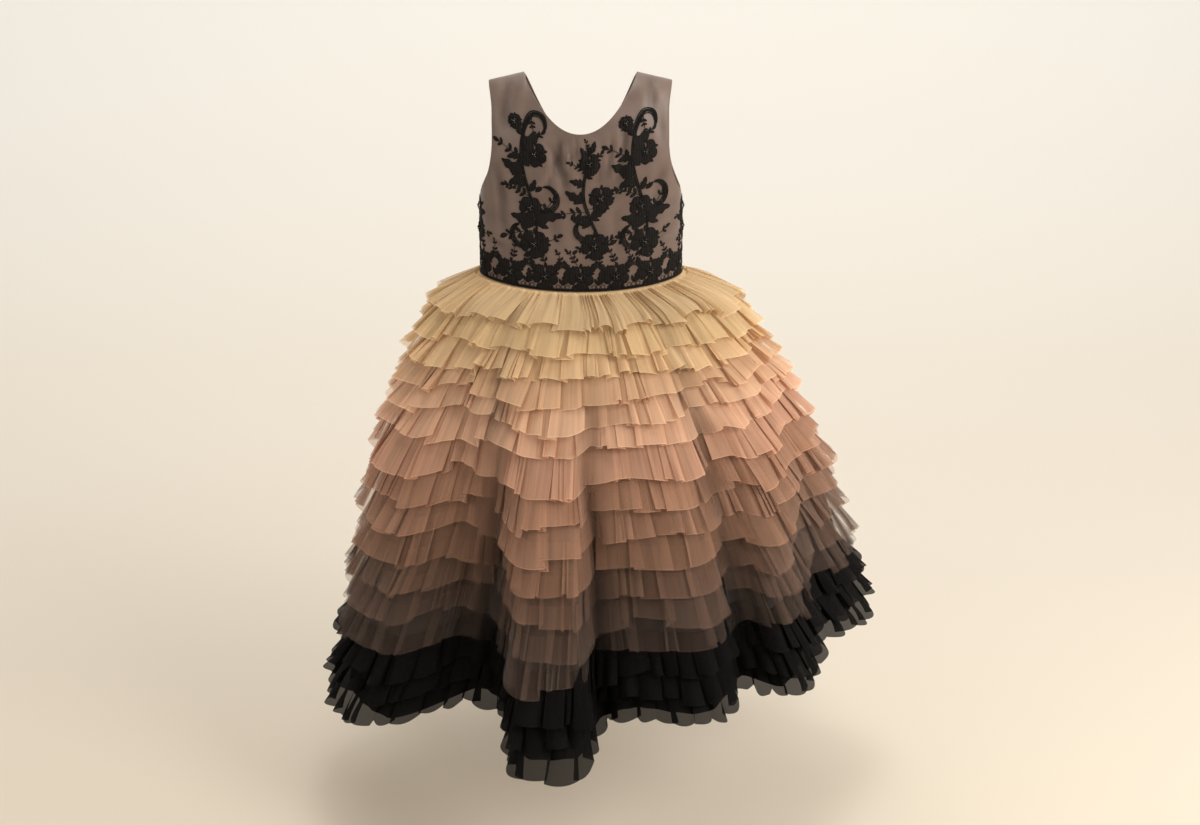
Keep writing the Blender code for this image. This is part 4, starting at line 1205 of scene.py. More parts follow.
def solidify(piece, thickness):
    """Gives a sheet its wall and keeps the result as a plain mesh, with crisp edges."""
    wall = piece.modifiers.new("wall", "SOLIDIFY")
    wall.thickness, wall.offset = thickness, 0.0
    graph = bpy.context.evaluated_depsgraph_get()
    result = bpy.data.meshes.new_from_object(piece.evaluated_get(graph))
    piece.modifiers.clear()
    piece.data = result
    result.shade_smooth()
    result.set_sharp_from_angle(angle=math.radians(WALL_CRISP))


def add_to_mesh(piece, points, faces):
    """Joins more points and faces to a piece."""
    extra = mesh_piece("extra", points, faces, points[:, (0, 2)])
    with bpy.context.temp_override(active_object=piece, selected_editable_objects=[piece, extra]):
        bpy.ops.object.join()


def open_edges(grid, shares):
    """The edges of a panel that are turned in: its neckline, and its armholes where it has any."""
    edges = [grid[0, np.abs(shares) <= STRAP_SHARE + NEAR]]
    above = grid[:, 0, 2] > -UNDERARM_DROP
    return edges + [grid[above, j] for j in (0, -1) if abs(abs(shares[j]) - 1) < NEAR]


print("roll along a turned edge, mm across:", 2000 * EDGE_ROLL)

# %% Panels of satin
# painted shade and highlight: darker colour in a crease's trough, a little lighter on its ridges
TROUGH_SHADE = 180.0  # how much darker the satin looks in a trough, a metre of depth
SHADE_RANGE = (0.66, 1.08)

panels = {}
for name, (shares, side, neck_drop) in PANELS.items():
    grid = panel_grid(shares, side, neck_drop)
    if side == 1:
        grid[:, np.abs(shares).argmin(), 0] += math.copysign(BACK_OPENING / 2, shares.sum())
    faces = grid_faces(*grid.shape[:2])
    piece = mesh_piece("satin_" + name, grid.reshape(-1, 3), faces, grid[..., (0, 2)].reshape(-1, 2))
    area = sum(face.area for face in piece.data.polygons)
    solidify(piece, SATIN)
    for edge in open_edges(grid, shares):
        add_to_mesh(piece, *rolled_edge(edge, EDGE_ROLL))
    spots = points_of(piece)
    bend = crease_depth(spots[:, 0], spots[:, 2], side)
    # painted shade and highlight from the creases, which the satin's finish reads
    carry(piece, "shade", np.clip(1 + TROUGH_SHADE * bend, *SHADE_RANGE))
    panels[name] = (piece, area, grid)
    print(f"{name}: {10000 * area:.0f} cm2 of satin, {len(piece.data.polygons)} faces")

# %% [markdown]
# ## Satin
#
# In a satin weave long threads float on the face, and they run up and down the bodice. A map of the
# threads would be far too fine to see, so the shader is made of two patterns: one drawn out along
# the threads, for the grain, and a cloudy one, for the slight unevenness of dyed cloth. The sheen is
# drawn out sideways with the shader's own setting for brushed surfaces.

# %% Satin finish
THREADS = (5200.0, 420.0, 1.0)  # pattern steps to a metre across and along the threads
SATIN_COLOURS = [
    (0.34, (0.138, 0.094, 0.077)),
    (0.50, (0.170, 0.117, 0.095)),
    (0.66, (0.202, 0.140, 0.114)),
]
satin, tree, shader = new_material(
    "taupe_satin", Roughness=0.40, Anisotropic=0.5, Sheen_Weight=0.2, Specular_IOR_Level=0.4
)
place = cloth_place(tree)
weave = noise(tree, stretched(tree, place, THREADS), Scale=1.0, Detail=2.0)
mixed = add_node(tree, "ShaderNodeMix", data_type="FLOAT", Factor=0.35)
tree.links.new(noise(tree, place, Scale=26.0, Detail=2.0), mixed.inputs["A"])
tree.links.new(weave, mixed.inputs["B"])
colour = colour_ramp(tree, mixed.outputs["Result"], SATIN_COLOURS)
# the satin's colour is scaled by the painted crease shade
tree.links.new(with_painted_shade(tree, colour), shader.inputs["Base Color"])
tree.links.new(relief(tree, weave, 0.18, 0.0002), shader.inputs["Normal"])
for piece, area, grid in panels.values():
    piece.data.materials.clear()
    piece.data.materials.append(satin)
print("satin panels:", list(panels))

# %% [markdown]
# ## Corded lace
#
# The lace is embroidered on net and cut out along its edges. It is made of a few parts again and
# again: stems and scrolls of three or four cords, leaves and petals with a corded rim and a raised
# middle, and twigs of small leaves. They could be modelled right on the curved bodice, but every
# line is easier to place on a flat sheet. So they are drawn flat, as an embroiderer draws them, in
# metres round the body and up from the waist seam. One function then lays the flat drawing on the
# bodice, over its creases, so it follows the satin everywhere.

# %% Lay flat drawings on the bodice
def girth_table():
    """Angle from the centre front, and the distance round the body to it, half way round."""
    angles = np.linspace(0, math.pi, 361)
    forward, sideways = rounded_square(angles, SQUARENESS)
    outline = np.stack([WAIST_HALF_WIDTH * sideways, WAIST_HALF_DEPTH * forward], axis=1)
    return angles, run_along(outline)


GIRTH_ANGLES, GIRTH = girth_table()
HALF_GIRTH = GIRTH[-1]
FEELER = 0.002  # how far apart points are taken to find which way the cloth faces


def on_body(around, up):
    """Points of the bodice's middle surface; returns them with the side that they are on."""
    around = np.clip(around, -HALF_GIRTH, HALF_GIRTH)
    angle = np.sign(around) * np.interp(np.abs(around), GIRTH, GIRTH_ANGLES)
    forward, share = rounded_square(angle, SQUARENESS)
    height = waist_height(share * WAIST_HALF_WIDTH) + up
    side = np.where(forward > 0, -1, 1)
    return body_point(share * body_half_width(height), height, side), side


def lay_on_body(flat):
    """Places flat points (around, up, off the satin's middle) on the creased satin."""
    around, up, off = np.asarray(flat).T
    place, side = on_body(around, up)
    sideways = on_body(around + FEELER, up)[0] - on_body(around - FEELER, up)[0]
    upward = on_body(around, up + FEELER)[0] - on_body(around, up - FEELER)[0]
    out = unit(np.cross(sideways, upward))
    return place + out * (off + crease_depth(place[:, 0], place[:, 2], side))[:, None]


def smooth_line(points, count):
    """A smooth line through points, in even steps."""
    points = np.asarray(points, float)
    run = run_along(points)
    slopes = np.gradient(points, run, axis=0)
    places = np.linspace(0, run[-1], count)
    n = np.clip(np.searchsorted(run, places, side="right") - 1, 0, len(run) - 2)
    width = (run[n + 1] - run[n])[:, None]
    t = (places[:, None] - run[n][:, None]) / width
    return smooth_step(t, width, points[n], points[n + 1], slopes[n], slopes[n + 1])


print("half way round the body, mm:", round(1000 * HALF_GIRTH))

# %% Directions on a flat drawing
def direction(turn):
    """One step in a direction, in radians."""
    return np.array((math.cos(turn), math.sin(turn)))


def left_of(line):
    """Directions square to a flat line, to its left."""
    along = unit(np.gradient(line, axis=0))
    return np.stack([-along[:, 1], along[:, 0]], axis=1)


def swelling(count, power):
    """0 at both ends of a line and 1 in its middle."""
    return np.sin(np.pi * np.linspace(0, 1, count)) ** power


print("a line of 5 points swells by:", swelling(5, 0.5).round(2))

# %% Cords and blades
FACE = SATIN / 2 + 0.0001  # from the satin's middle to just above its face
CORD = 0.00055  # radius
CORD_SIDES = 6
BLADE_ROWS, BLADE_COLUMNS = 14, 7
NET, CORDS = 0, 1  # slots of the two finishes


class Embroidery:
    """A flat drawing that grows part by part; beads are the places of its beads and their sizes."""

    def __init__(self):
        self.points, self.faces, self.finishes, self.beads = [], [], [], []

    def add(self, flat, off, faces, finish):
        """Adds a grid of flat points, each with its distance off the satin's middle."""
        start = sum(len(block) for block in self.points)
        self.points.append(np.concatenate([flat, off[..., None]], axis=2).reshape(-1, 3))
        self.faces += [tuple(start + n for n in face) for face in turned_over(faces)]
        self.finishes += [finish] * len(faces)

    def cord(self, line, radius=CORD, taper=0.45, lift=0.0):
        """A round cord along a flat line, thinner at its ends."""
        line = np.asarray(line, float)
        size = (radius * (taper + (1 - taper) * swelling(len(line), 0.5)))[:, None]
        turns = np.linspace(0, 2 * np.pi, CORD_SIDES, endpoint=False)
        flat = line[:, None] + left_of(line)[:, None] * (size * np.cos(turns))[..., None]
        off = FACE + lift + radius + size * np.sin(turns)
        self.add(flat, off, grid_faces(len(line), CORD_SIDES, True), CORDS)

    def blade(self, root, lean, length, width, fullness=0.5, lift=0.0, dome=0.0012, rim=True, waves=0.07):
        """A leaf or a petal: a domed patch with a vein and a corded rim; lean is in degrees."""
        turn = math.radians(lean)
        s = np.linspace(0, 1, BLADE_ROWS)
        t = np.linspace(-1, 1, BLADE_COLUMNS)
        half = width / 2 * np.sin(np.pi * s ** (math.log(0.5) / math.log(fullness))) ** 0.75
        half = half * (1 + waves * np.sin(6.5 * np.pi * s + lean)) + 0.0002
        bow = 0.10 * length * np.sin(np.pi * s) * math.sin(3 * turn + 1)
        beside = np.array((-math.sin(turn), math.cos(turn))) * (half[:, None] * t + bow[:, None])[..., None]
        flat = root + direction(turn) * (s * length)[:, None, None] + beside
        vein = 1 - 0.55 * np.exp(-((t / 0.25) ** 2))
        off = FACE + lift + 0.0003 + dome * np.sin(np.pi * s)[:, None] ** 0.5 * (1 - t**2) * vein
        self.add(flat, off, grid_faces(BLADE_ROWS, BLADE_COLUMNS), NET)
        if rim:
            self.cord(np.concatenate([flat[:, 0], flat[::-1, -1]]), radius=0.00042, taper=0.8, lift=lift)
            middle = flat[:, BLADE_COLUMNS // 2]
            self.cord(middle, radius=0.00030, taper=0.5, lift=lift + dome * 0.35)


sample = Embroidery()
sample.blade((0.0, 0.0), 90, 0.030, 0.012)
print("faces in one leaf:", len(sample.faces))

# %% [markdown]
# ## Flowers
#
# A flower of such lace has overlapping petals with corded rims, small leaves that show between them,
# a ring of small petals in its middle, and beads. It could be drawn as one outline, but then all its
# petals would lie in one plane. Here it is built as an embroiderer lays it, from the lowest leaves
# up, and each second petal lies a little higher than its neighbours.

# %% Flowers
FLOWER_SPIN = 0.3 + math.pi / 5
PETALS = 5


def petals(work, middle, spin, out, length, width, fullness, lifts, **settings):
    """A ring of blades; out is how far their roots lie from its middle, spin a share of one step."""
    for n in range(PETALS):
        lean = FLOWER_SPIN + 2 * math.pi * (n + spin) / PETALS
        root, lift = middle + out * direction(lean), lifts[n % len(lifts)]
        work.blade(root, math.degrees(lean), length, width, fullness, lift=lift, **settings)


def flower(work, middle, radius):
    """Small leaves, overlapping petals over them, a ring of small petals, and beads in the middle."""
    middle, r = np.asarray(middle, float), radius
    petals(work, middle, 0.5, 0.66 * r, 0.46 * r, 0.24 * r, 0.5, (0.0,), dome=0.0007, rim=False)
    petals(work, middle, 0.0, 0.12 * r, 0.90 * r, 0.80 * r, 0.64, (0.0, 0.0003))
    petals(work, middle, 0.5, 0.0, 0.42 * r, 0.30 * r, 0.6, (0.0012,), rim=False)
    work.beads.append((*middle, FACE + 0.0030, 0.0012))
    for n in range(3):
        spot = middle + 0.0024 * direction(FLOWER_SPIN + 2 * math.pi * n / 3)
        work.beads.append((*spot, FACE + 0.0026, 0.0009))


sample = Embroidery()
flower(sample, (0.0, 0.0), 0.015)
print("faces in one flower:", len(sample.faces), "beads:", len(sample.beads))

# %% [markdown]
# ## Leaves, stems, scrolls and twigs
#
# Between the flowers run stems and scrolls of three or four cords side by side, which meet at their
# ends, and twigs with small leaves fill the gaps. A hand-drawn curve for each would give the same
# lace, but these few shapes come again and again, so each is a short function with a place, a size
# and a lean.

# %% Leaves and stems
def leaf(work, root, lean, length):
    """A leaf with a smaller one on each side of its root."""
    work.blade(root, lean, length, 0.38 * length, 0.42, waves=0.24)
    for turn in (-38, 38):
        work.blade(root, lean + turn, 0.52 * length, 0.20 * length, 0.5, dome=0.0008, rim=False)


def vine(work, line, cords, spread, radius=CORD):
    """Cords side by side that meet at both ends, as in a stem or a scroll."""
    beside = left_of(line)
    for n in range(cords):
        shift = (n - (cords - 1) / 2) * spread
        work.cord(line + beside * (shift * swelling(len(line), 0.6))[:, None], radius)


sample = Embroidery()
leaf(sample, (0.0, 0.0), 90, 0.030)
print("faces in a leaf with its two small ones:", len(sample.faces))

# %% Scrolls, twigs and loops
SCROLL_STEPS = 26
TWIG_STEPS = 9
TWIG_JOINTS = (2, 4, 7)  # points of a twig's stalk where a pair of leaves grows
TWIG_CURL = 20  # degrees
LOOP_STEPS = 13


def circle_line(turns):
    """Points of a circle with radius 1."""
    return np.stack([np.cos(turns), np.sin(turns)], axis=1)


def scroll(work, root, radius, start, sweep):
    """A C-shaped scroll that tightens towards its end, with a leaf and a bead there."""
    share = np.linspace(0, 1, SCROLL_STEPS)
    size = radius * (1 - 0.22 * share**2)[:, None]
    circle = size * circle_line(np.radians(start + sweep * share))
    line = root - circle[0] + circle
    vine(work, line, 4, 0.0021, 0.00068)
    lean = start + sweep + math.copysign(115, sweep)
    work.blade(line[-1], lean, 0.60 * radius, 0.30 * radius, 0.5, dome=0.0009)
    work.beads.append((*line[-1], FACE + 0.0014, 0.0008))


def twig(work, root, lean, length):
    """A thin stalk with pairs of small leaves and one at its tip."""
    turns = np.radians(lean + TWIG_CURL * np.linspace(0, 1, TWIG_STEPS))
    steps = circle_line(turns) * length / (TWIG_STEPS - 1)
    line = np.asarray(root) + np.concatenate([[(0.0, 0.0)], np.cumsum(steps[:-1], axis=0)])
    work.cord(line, radius=0.00040)
    for n, place in enumerate(TWIG_JOINTS):
        size = length * (0.30 - 0.04 * n)
        for side in (-48, 48):
            turn = math.degrees(turns[place]) + side
            work.blade(line[place], turn, size, 0.46 * size, 0.55, dome=0.0008, rim=False)
    tip = math.degrees(turns[-1])
    work.blade(line[-1], tip, 0.30 * length, 0.15 * length, 0.55, dome=0.0007, rim=False)


def loops(work, start, end, count, size):
    """Small round loops along the waist cord."""
    ring = size * circle_line(np.linspace(-0.5 * np.pi, 1.5 * np.pi, LOOP_STEPS))
    for n in range(count):
        middle = (start + (end - start) * (n + 0.5) / count, 0.0040 + size)
        work.cord(np.array(middle) + ring, radius=0.00034, taper=0.9)


sample = Embroidery()
twig(sample, (0.0, 0.0), 90, 0.030)
print("faces in one twig:", len(sample.faces))

# %% [markdown]
# ## The motifs
#
# The photo shows three upright branches on the front, a motif round each side and a band along the
# waist. The drawings here are new ones of the same kind and the same size. They could be one long
# pattern that is cut where it has to stop, but on a good bodice each motif is placed by itself, so
# each has its own stem, and its flowers, leaves, scrolls and twigs are listed by where they sit.

# %% Stems and flowers of the motifs
# across from the motif's middle line and up from the waist seam, as in the solids
STEMS = {
    "branch": [
        (-0.004, 0.041), (0.006, 0.068), (0.006, 0.098), (-0.004, 0.130), (-0.012, 0.164),
        (-0.011, 0.196), (-0.003, 0.218), (0.007, 0.227), (0.016, 0.222), (0.019, 0.210),
    ],
    "centre": [
        (0.010, 0.041), (0.014, 0.066), (0.004, 0.092), (-0.006, 0.122), (-0.004, 0.152), (0.002, 0.186),
    ],
    "side": [(0.000, 0.041), (0.005, 0.060), (-0.003, 0.082), (0.000, 0.098)],
    "back": [(0.000, 0.041), (0.007, 0.064), (-0.004, 0.094), (0.003, 0.126), (0.014, 0.142)],
}
HOOK = [(-0.011, 0.190), (-0.007, 0.212), (0.003, 0.226), (0.014, 0.224), (0.019, 0.211), (0.016, 0.203)]
# across, up, radius
FLOWERS = {
    "branch": [(0.004, 0.060, 0.019), (-0.001, 0.107, 0.015), (0.005, 0.176, 0.016), (-0.021, 0.214, 0.0095)],
    "centre": [(0.008, 0.060, 0.018), (0.017, 0.122, 0.016), (0.002, 0.167, 0.014)],
    "side": [(0.003, 0.061, 0.0185), (-0.001, 0.089, 0.014)],
    "back": [(0.003, 0.060, 0.0185), (-0.006, 0.104, 0.016)],
}
print("motifs:", list(STEMS))

# %% Leaves, scrolls and twigs of the motifs
# height of the root on the stem, lean in degrees, length
LEAVES = {
    "branch": [
        (0.086, 165, 0.034), (0.090, 14, 0.036), (0.142, 198, 0.024), (0.150, 156, 0.034),
        (0.184, 38, 0.030), (0.199, 122, 0.019), (0.128, 60, 0.018), (0.162, 30, 0.020), (0.170, 186, 0.020),
    ],
    "centre": [
        (0.090, 168, 0.028), (0.096, 28, 0.024), (0.118, 152, 0.028), (0.180, 62, 0.017),
        (0.140, 165, 0.020), (0.150, 28, 0.020), (0.176, 130, 0.015),
    ],
    "side": [(0.070, 160, 0.026), (0.076, 22, 0.026), (0.092, 150, 0.014)],
    "back": [
        (0.070, 28, 0.030), (0.080, 160, 0.030), (0.120, 140, 0.028), (0.112, 24, 0.022), (0.132, 70, 0.016),
    ],
}
# height of the root on the stem, radius, start and sweep of the arc in degrees
SCROLLS = {
    "branch": [(0.112, 0.018, -150, 250), (0.062, 0.017, -35, -215)],
    "centre": [(0.078, 0.014, -20, -220)],
    "side": [],
    "back": [(0.094, 0.016, -160, 235)],
}
# height of the root on the stem, lean in degrees, length
TWIGS = {
    "branch": [
        (0.060, 10, 0.032), (0.078, 188, 0.040), (0.094, 40, 0.034), (0.166, 140, 0.036),
        (0.188, 20, 0.028), (0.222, 270, 0.020), (0.134, 176, 0.030), (0.120, 150, 0.030),
    ],
    "centre": [
        (0.070, 200, 0.030), (0.104, 176, 0.034), (0.108, 10, 0.030), (0.156, 140, 0.022),
        (0.160, 36, 0.026), (0.182, 98, 0.014), (0.064, 10, 0.030),
    ],
    "side": [(0.058, 185, 0.026), (0.058, -5, 0.026), (0.082, 176, 0.022), (0.088, 14, 0.018)],
    "back": [
        (0.062, 180, 0.032), (0.094, 25, 0.030), (0.100, 172, 0.030),
        (0.126, 165, 0.026), (0.136, 100, 0.022), (0.060, 0, 0.030),
    ],
}
print("leaves and twigs in one branch:", len(LEAVES["branch"]), len(TWIGS["branch"]))

# %% Draw one motif
def stem_place(motif, up):
    """The place on a motif's stem at a height."""
    line = np.array(STEMS[motif])
    rising = line[: line[:, 1].argmax() + 1]
    return np.array((np.interp(up, rising[:, 1], rising[:, 0]), up))


def draw_motif(motif):
    """One motif: its stem, and what grows from it."""
    work = Embroidery()
    vine(work, smooth_line(STEMS[motif], 56), 3, 0.0017)
    if motif == "branch":
        vine(work, smooth_line(HOOK, 30), 4, 0.0021, 0.00070)
    for up, radius, start, sweep in SCROLLS[motif]:
        scroll(work, stem_place(motif, up), radius, start, sweep)
    for up, lean, length in LEAVES[motif]:
        leaf(work, stem_place(motif, up), lean, length)
    for up, lean, length in TWIGS[motif]:
        twig(work, stem_place(motif, up), lean, length)
    for across, up, radius in FLOWERS[motif]:
        flower(work, (across, up), radius)
    return work


motif = draw_motif("branch")
print("faces in one branch:", len(motif.faces), "beads:", len(motif.beads))

# %% The band along the waist
BAND_PITCH = 0.044
BAND_FLOWER = 0.017
BAND_FLOWER_UP = 0.019
BAND_ARCH_UP = 0.034
CORD_UP = 0.0026  # of the corded edge
CORD_APART = 0.0011


def draw_band(start, end, seed):
    """The waist band: a corded edge, flowers, leaves between them, loops and upright sprigs."""
    rng = np.random.default_rng(seed)
    work = Embroidery()
    count = max(1, round((end - start) / BAND_PITCH))
    pitch = (end - start) / count
    line = np.stack([np.linspace(start, end, 12 * count), np.full(12 * count, CORD_UP)], axis=1)
    for rise in (-CORD_APART, 0.0, CORD_APART):
        work.cord(line + (0.0, rise), radius=0.0006, taper=1.0)
    for n in range(count):
        middle = start + pitch * (n + 0.5)
        flower(work, (middle, BAND_FLOWER_UP), BAND_FLOWER)
        leaf(work, (middle - 0.010, 0.026), 122 + rng.uniform(-15, 15), 0.018)
        leaf(work, (middle + 0.010, 0.026), 58 + rng.uniform(-15, 15), 0.018)
        twig(work, (middle + rng.uniform(-0.004, 0.004), 0.034), 90 + rng.uniform(-25, 25), 0.022)
        if n + 1 < count:
            far = middle + pitch
            arch = [(middle + 0.008, 0.022), (middle + pitch / 2, BAND_ARCH_UP), (far - 0.008, 0.022)]
            vine(work, smooth_line(arch, 16), 3, 0.0018)
            loops(work, middle + 0.014, far - 0.014, 3, 0.0026)
            leaf(work, (middle + pitch / 2, 0.009), 90 + rng.uniform(-25, 25), 0.019)
            twig(work, (middle + pitch / 2, 0.032), 90 + rng.uniform(-35, 35), 0.020)
    return work


print("flowers in a band round half the waist:", round(HALF_GIRTH / BAND_PITCH))

# %% [markdown]
# ## Two finishes for the lace
#
# The petals and leaves are filled with close stitches, and the cords are twisted thread. Both could
# be carved thread by thread, but at this size the threads only show as a fine, dull ribbing. So each
# finish is a pattern of waves, in colour and in relief. The cords are a little glossier and darker
# than the filling, and that difference is what makes the drawing show, black on black.

# %% Lace finishes: net in the petals, and cords
def thread_finish(name, colour, roughness, pitch, depth):
    """Threads side by side on the flat cloth, in colour and in relief."""
    made, tree, shader = new_material(name, Roughness=roughness, Specular_IOR_Level=0.22)
    waves = add_node(tree, "ShaderNodeTexWave", Scale=1 / pitch, Distortion=3.0, Detail=2.0)
    tree.links.new(cloth_place(tree), waves.inputs["Vector"])
    threads = waves.outputs["Fac"]
    stops = [(0.0, tinted(colour, 0.55)), (0.5, colour), (1.0, tinted(colour, 1.6))]
    tree.links.new(colour_ramp(tree, threads, stops), shader.inputs["Base Color"])
    tree.links.new(relief(tree, threads, 0.6, depth), shader.inputs["Normal"])
    return made


lace_net = thread_finish("lace_net", (0.0085, 0.0068, 0.0058), 0.85, 0.0110, 0.0003)
lace_cord = thread_finish("lace_cord", (0.0028, 0.0025, 0.0022), 0.60, 0.0070, 0.0003)
print("finishes of the lace:", lace_net.name, lace_cord.name)

# %% Lay every motif in its place
# piece, motif, distance round the body from the centre front
PLACES = [
    ("lace_branch_left", "branch", -0.064),
    ("lace_branch_centre", "centre", 0.010),
    ("lace_branch_right", "branch", 0.080),
    ("lace_side_left", "side", -0.157),
    ("lace_side_right", "side", 0.160),
    ("lace_branch_back_left", "back", -0.245),
    ("lace_branch_back_right", "back", 0.245),
]
SIDE_END = 0.0014  # the band stops this far from the side seam
ZIP_END = 0.0042  # and this far from the zip
# piece, from and to round the body, seed
BANDS = [
    ("lace_waist_front", -HALF_GIRTH / 2 + SIDE_END, HALF_GIRTH / 2 - SIDE_END, 3),
    ("lace_waist_back_right", HALF_GIRTH / 2 + SIDE_END, HALF_GIRTH - ZIP_END, 4),
    ("lace_waist_back_left", -HALF_GIRTH + ZIP_END, -HALF_GIRTH / 2 - SIDE_END, 5),
]


def make_lace(name, work, around):
    """One piece of lace on the satin; returns it with the places and sizes of its beads."""
    flat = np.concatenate(work.points) + (around, 0.0, 0.0)
    piece = mesh_piece("corded_" + name, lay_on_body(flat), work.faces, flat[:, :2])
    for finish in (lace_net, lace_cord):
        piece.data.materials.append(finish)
    piece.data.polygons.foreach_set("material_index", work.finishes)
    beads = np.array(work.beads)
    places = lay_on_body(beads[:, :3] + (around, 0.0, 0.0))
    return piece, places, beads[:, 3]


laces, bead_places, bead_sizes = {}, {}, {}
drawings = [(name, draw_motif(motif), around) for name, motif, around in PLACES]
drawings += [(name, draw_band(start, end, seed), 0.0) for name, start, end, seed in BANDS]
for name, work, around in drawings:
    piece, places, sizes = make_lace(name, work, around)
    laces[name], bead_places[name], bead_sizes[name] = piece, places, sizes
    print(f"{name}: {len(piece.data.polygons)} faces, {len(places)} beads")

# %% [markdown]
# ## Beads
#
# Glass beads sit in the middle of each flower and at the scrolls' ends. Each could be a ball of its
# own, but one small ball is enough: Geometry Nodes repeat it at marked points, each a little turned
# and with its own size. Black glass is almost invisible on black lace, except for the spark of light
# that each bead carries, so its finish is smooth and has a clear coat.

# %% Geometry Nodes tree that sets a bead on each point
BEAD_INPUTS = [("Turn", "Float", 6.28), ("Seed", "Int", 5), ("Material", "Material", None)]
BEAD_SIDES, BEAD_RINGS = 8, 5
BEAD_COLOURS = [(0.4, (0.012, 0.011, 0.012)), (0.7, (0.05, 0.048, 0.05))]


def bead_tree():
    """A ball on each point, of the size that the point carries, turned by chance."""
    tree = Tree("set_beads", BEAD_INPUTS)
    ball = tree.node("GeometryNodeMeshUVSphere", BEAD_SIDES, BEAD_RINGS, 1.0)
    turn = tree.node("FunctionNodeRandomValue", data_type="FLOAT_VECTOR")
    turn.node.inputs["Min"].default_value = (0.0, 0.0, 0.0)
    tree.feed(turn.node.inputs["Max"], tree.inputs["Turn"])
    tree.feed(turn.node.inputs["Seed"], tree.inputs["Seed"])
    return tree.finish(tree.set_on_points(ball, tree.attribute("size"), turn))


BEADS = bead_tree()
glass, tree, shader = new_material(
    "black_glass_beads", Roughness=0.08, Specular_IOR_Level=0.9, Coat_Weight=0.5
)
specks = noise(tree, object_place(tree), Scale=900.0, Detail=1.0)
tree.links.new(colour_ramp(tree, specks, BEAD_COLOURS), shader.inputs["Base Color"])

beadwork = {}
for name, places in bead_places.items():
    piece = mesh_piece("beads_" + name, places, [])
    carry(piece, "size", bead_sizes[name])
    apply_nodes(piece, BEADS, {"Seed": 7, "Material": glass})
    piece.data.shade_smooth()
    beadwork[name] = piece
print("beads in all:", sum(len(places) for places in bead_places.values()))

# %% [markdown]
# ## The zip
#
# The concealed zip lies behind the centre back opening. Its tape is a narrow ribbed ribbon, and its
# coil of teeth shows only from inside. The ribs could be a relief in the finish, but they are few,
# and they show at the tape's ends, so they are real. The teeth are one short bar, repeated by
# Geometry Nodes at even steps down the tape.

# %% Tape
TAPE_WALL = 0.0010  # of the tape's solid
RIBBON = 0.0008  # wall of the ribbon that shows
ZIP_HALF_WIDTH = 0.009
RIB_PITCH, RIB_DEPTH = 0.0015, 0.00010
TAPE_COLUMNS, TAPE_ROWS = 25, 60
INWARD = SATIN / 2 + TAPE_WALL / 2 + 2 * SEAM_GAP
tape_top, tape_bottom = -NECK_DROP_BACK - 0.002, -WAIST_DROP - WAIST_DIP + 0.003
across = np.linspace(ZIP_HALF_WIDTH, -ZIP_HALF_WIDTH, TAPE_COLUMNS)
down = np.linspace(tape_top, tape_bottom, TAPE_ROWS)[:, None]
grid = body_point(across[None, :], down, 1)
grid[..., 1] -= INWARD + RIB_DEPTH * np.cos(2 * np.pi * across / RIB_PITCH)
flat = grid[..., (0, 2)].reshape(-1, 2)
tape = mesh_piece("zip_ribbon", grid.reshape(-1, 3), grid_faces(TAPE_ROWS, TAPE_COLUMNS), flat)
solidify(tape, RIBBON)
tape.data.materials.append(thread_finish("zip_ribbon_weave", (0.150, 0.108, 0.088), 0.8, 0.0030, 0.0002))
print("tape, mm:", round(1000 * (tape_top - tape_bottom)))

# %% Coil of teeth
TOOTH_INPUTS = [
    ("Length", "Float", 0.0032),
    ("Thickness", "Float", 0.00045),
    ("Material", "Material", None),
]
TOOTH_SIDES = 8
TOOTH_PITCH = 0.0014
TOOTH_SEAT = 0.0010  # from the tape's middle to the coil's
END_GAP = 0.003  # the coil starts and stops this far from the tape's ends
NYLON_COLOURS = [(0.3, (0.12, 0.085, 0.07)), (0.7, (0.17, 0.125, 0.10))]


def teeth_tree():
    """A short bar across the tape on each point."""
    tree = Tree("set_teeth", TOOTH_INPUTS)
    thickness, length = tree.inputs["Thickness"], tree.inputs["Length"]
    bar = tree.node("GeometryNodeMeshCylinder", TOOTH_SIDES, 2, 1, 1.0, 1.0)
    size = tree.node("ShaderNodeCombineXYZ", thickness, thickness, length)
    return tree.finish(tree.set_on_points(bar, size, (0.0, math.pi / 2, 0.0)))


heights = np.arange(tape_top - END_GAP, tape_bottom + END_GAP, -TOOTH_PITCH)
places = body_point(np.zeros(len(heights)), heights, 1)
places[:, 1] -= INWARD + TOOTH_SEAT
coil = mesh_piece("zip_coil", places, [])
nylon, tree, shader = new_material("zip_coil_nylon", Roughness=0.4)
specks = noise(tree, object_place(tree), Scale=1500.0)
tree.links.new(colour_ramp(tree, specks, NYLON_COLOURS), shader.inputs["Base Color"])
apply_nodes(coil, teeth_tree(), {"Material": nylon})
coil.data.shade_smooth()
print("teeth:", len(heights))

# %% [markdown]
# ## Metal
#
# The slider and the pull tab keep the shape of their solids, which are exact, so they only get a
# finish. They are darkened metal, brushed the long way of the tab. The brushing could be cut as real
# grooves, but these are finer than a hair, so a noise pattern, drawn out along the tab, stands for
# them in the colour and in a very shallow relief.

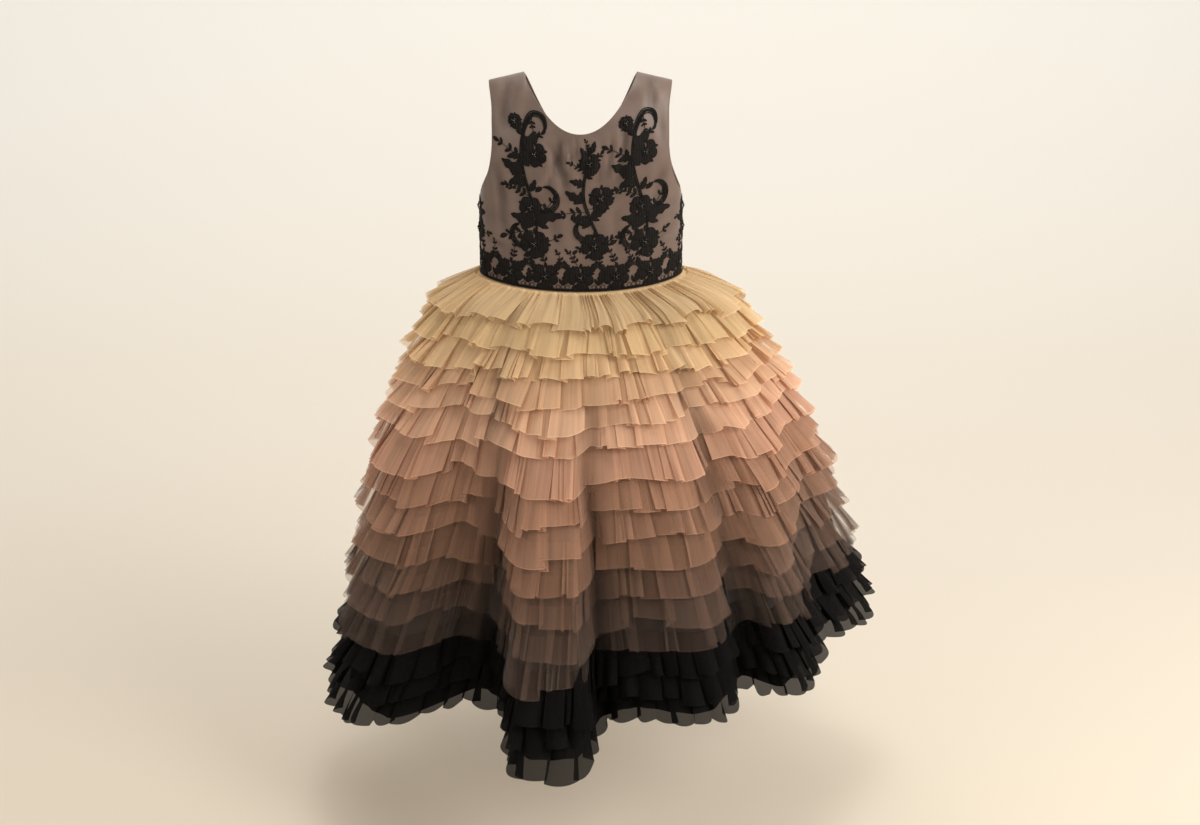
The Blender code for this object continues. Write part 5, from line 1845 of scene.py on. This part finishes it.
# %% Brushed metal for the slider and the pull
BRUSHING = (9000.0, 9000.0, 350.0)  # pattern steps to a metre along each axis
METAL_COLOURS = [(0.3, (0.13, 0.115, 0.105)), (0.7, (0.26, 0.235, 0.215))]
metal, tree, shader = new_material("darkened_metal", Metallic=1.0, Roughness=0.34)
lines = noise(tree, stretched(tree, object_place(tree), BRUSHING), Scale=1.0, Detail=3.0)
tree.links.new(colour_ramp(tree, lines, METAL_COLOURS), shader.inputs["Base Color"])
tree.links.new(relief(tree, lines, 0.15, 0.00005), shader.inputs["Normal"])
for node in ("zip_slider", "zip_pull"):
    bpy.data.objects[node].data.materials.clear()
    bpy.data.objects[node].data.materials.append(metal)
print("metal on: zip_slider, zip_pull")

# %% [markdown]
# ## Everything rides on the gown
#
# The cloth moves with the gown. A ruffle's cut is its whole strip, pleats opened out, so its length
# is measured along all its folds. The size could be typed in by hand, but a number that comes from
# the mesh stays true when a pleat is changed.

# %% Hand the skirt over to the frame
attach(base_skirt, "gown")
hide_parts("skirt_base")


# last ruffle of each slot
SLOTS = {3: "yellow_tulle", 6: "peach_tulle", 9: "blush_tulle", 11: "nude_tulle", 13: "dusk_tulle"}


def ruffle_slot(name):
    """The slot of a ruffle, by its colour."""
    if name.startswith("hem"):
        return "black_tulle"
    return next(slot for last, slot in SLOTS.items() if int(name[-2:]) <= last)


for name, (piece, length, depth) in ruffles.items():
    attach(piece, "gown")
    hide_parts(name)
    ruffle_slot(name)
print("ruffles handed over:", len(ruffles))

# %% Hand the bodice, the lace and the zip over to the frame
LACE_OF = {
    "bodice_front": [
        "lace_branch_left", "lace_branch_centre", "lace_branch_right",
        "lace_side_left", "lace_side_right", "lace_waist_front",
    ],
    "bodice_back_left": ["lace_branch_back_left", "lace_waist_back_left"],
    "bodice_back_right": ["lace_branch_back_right", "lace_waist_back_right"],
}
for name, (piece, area, grid) in panels.items():
    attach(piece, "gown")
    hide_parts(name)
    low, high = grid.reshape(-1, 3).min(axis=0), grid.reshape(-1, 3).max(axis=0)
    wide = float(np.linalg.norm(np.diff(grid[-1], axis=0), axis=1).sum())
    for lace in LACE_OF[name]:
        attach(laces[lace], "gown")
        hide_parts(lace)
        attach(beadwork[lace], "gown")

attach(tape, "gown")
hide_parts("zip_tape")
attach(coil, "gown")

# %% Sizes before and after
low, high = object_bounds()
{"cad": [list(cad_low), list(cad_high)], "visual": [list(low), list(high)]}
print("visual model, mm:", [round(1000 * side) for side in high - low])
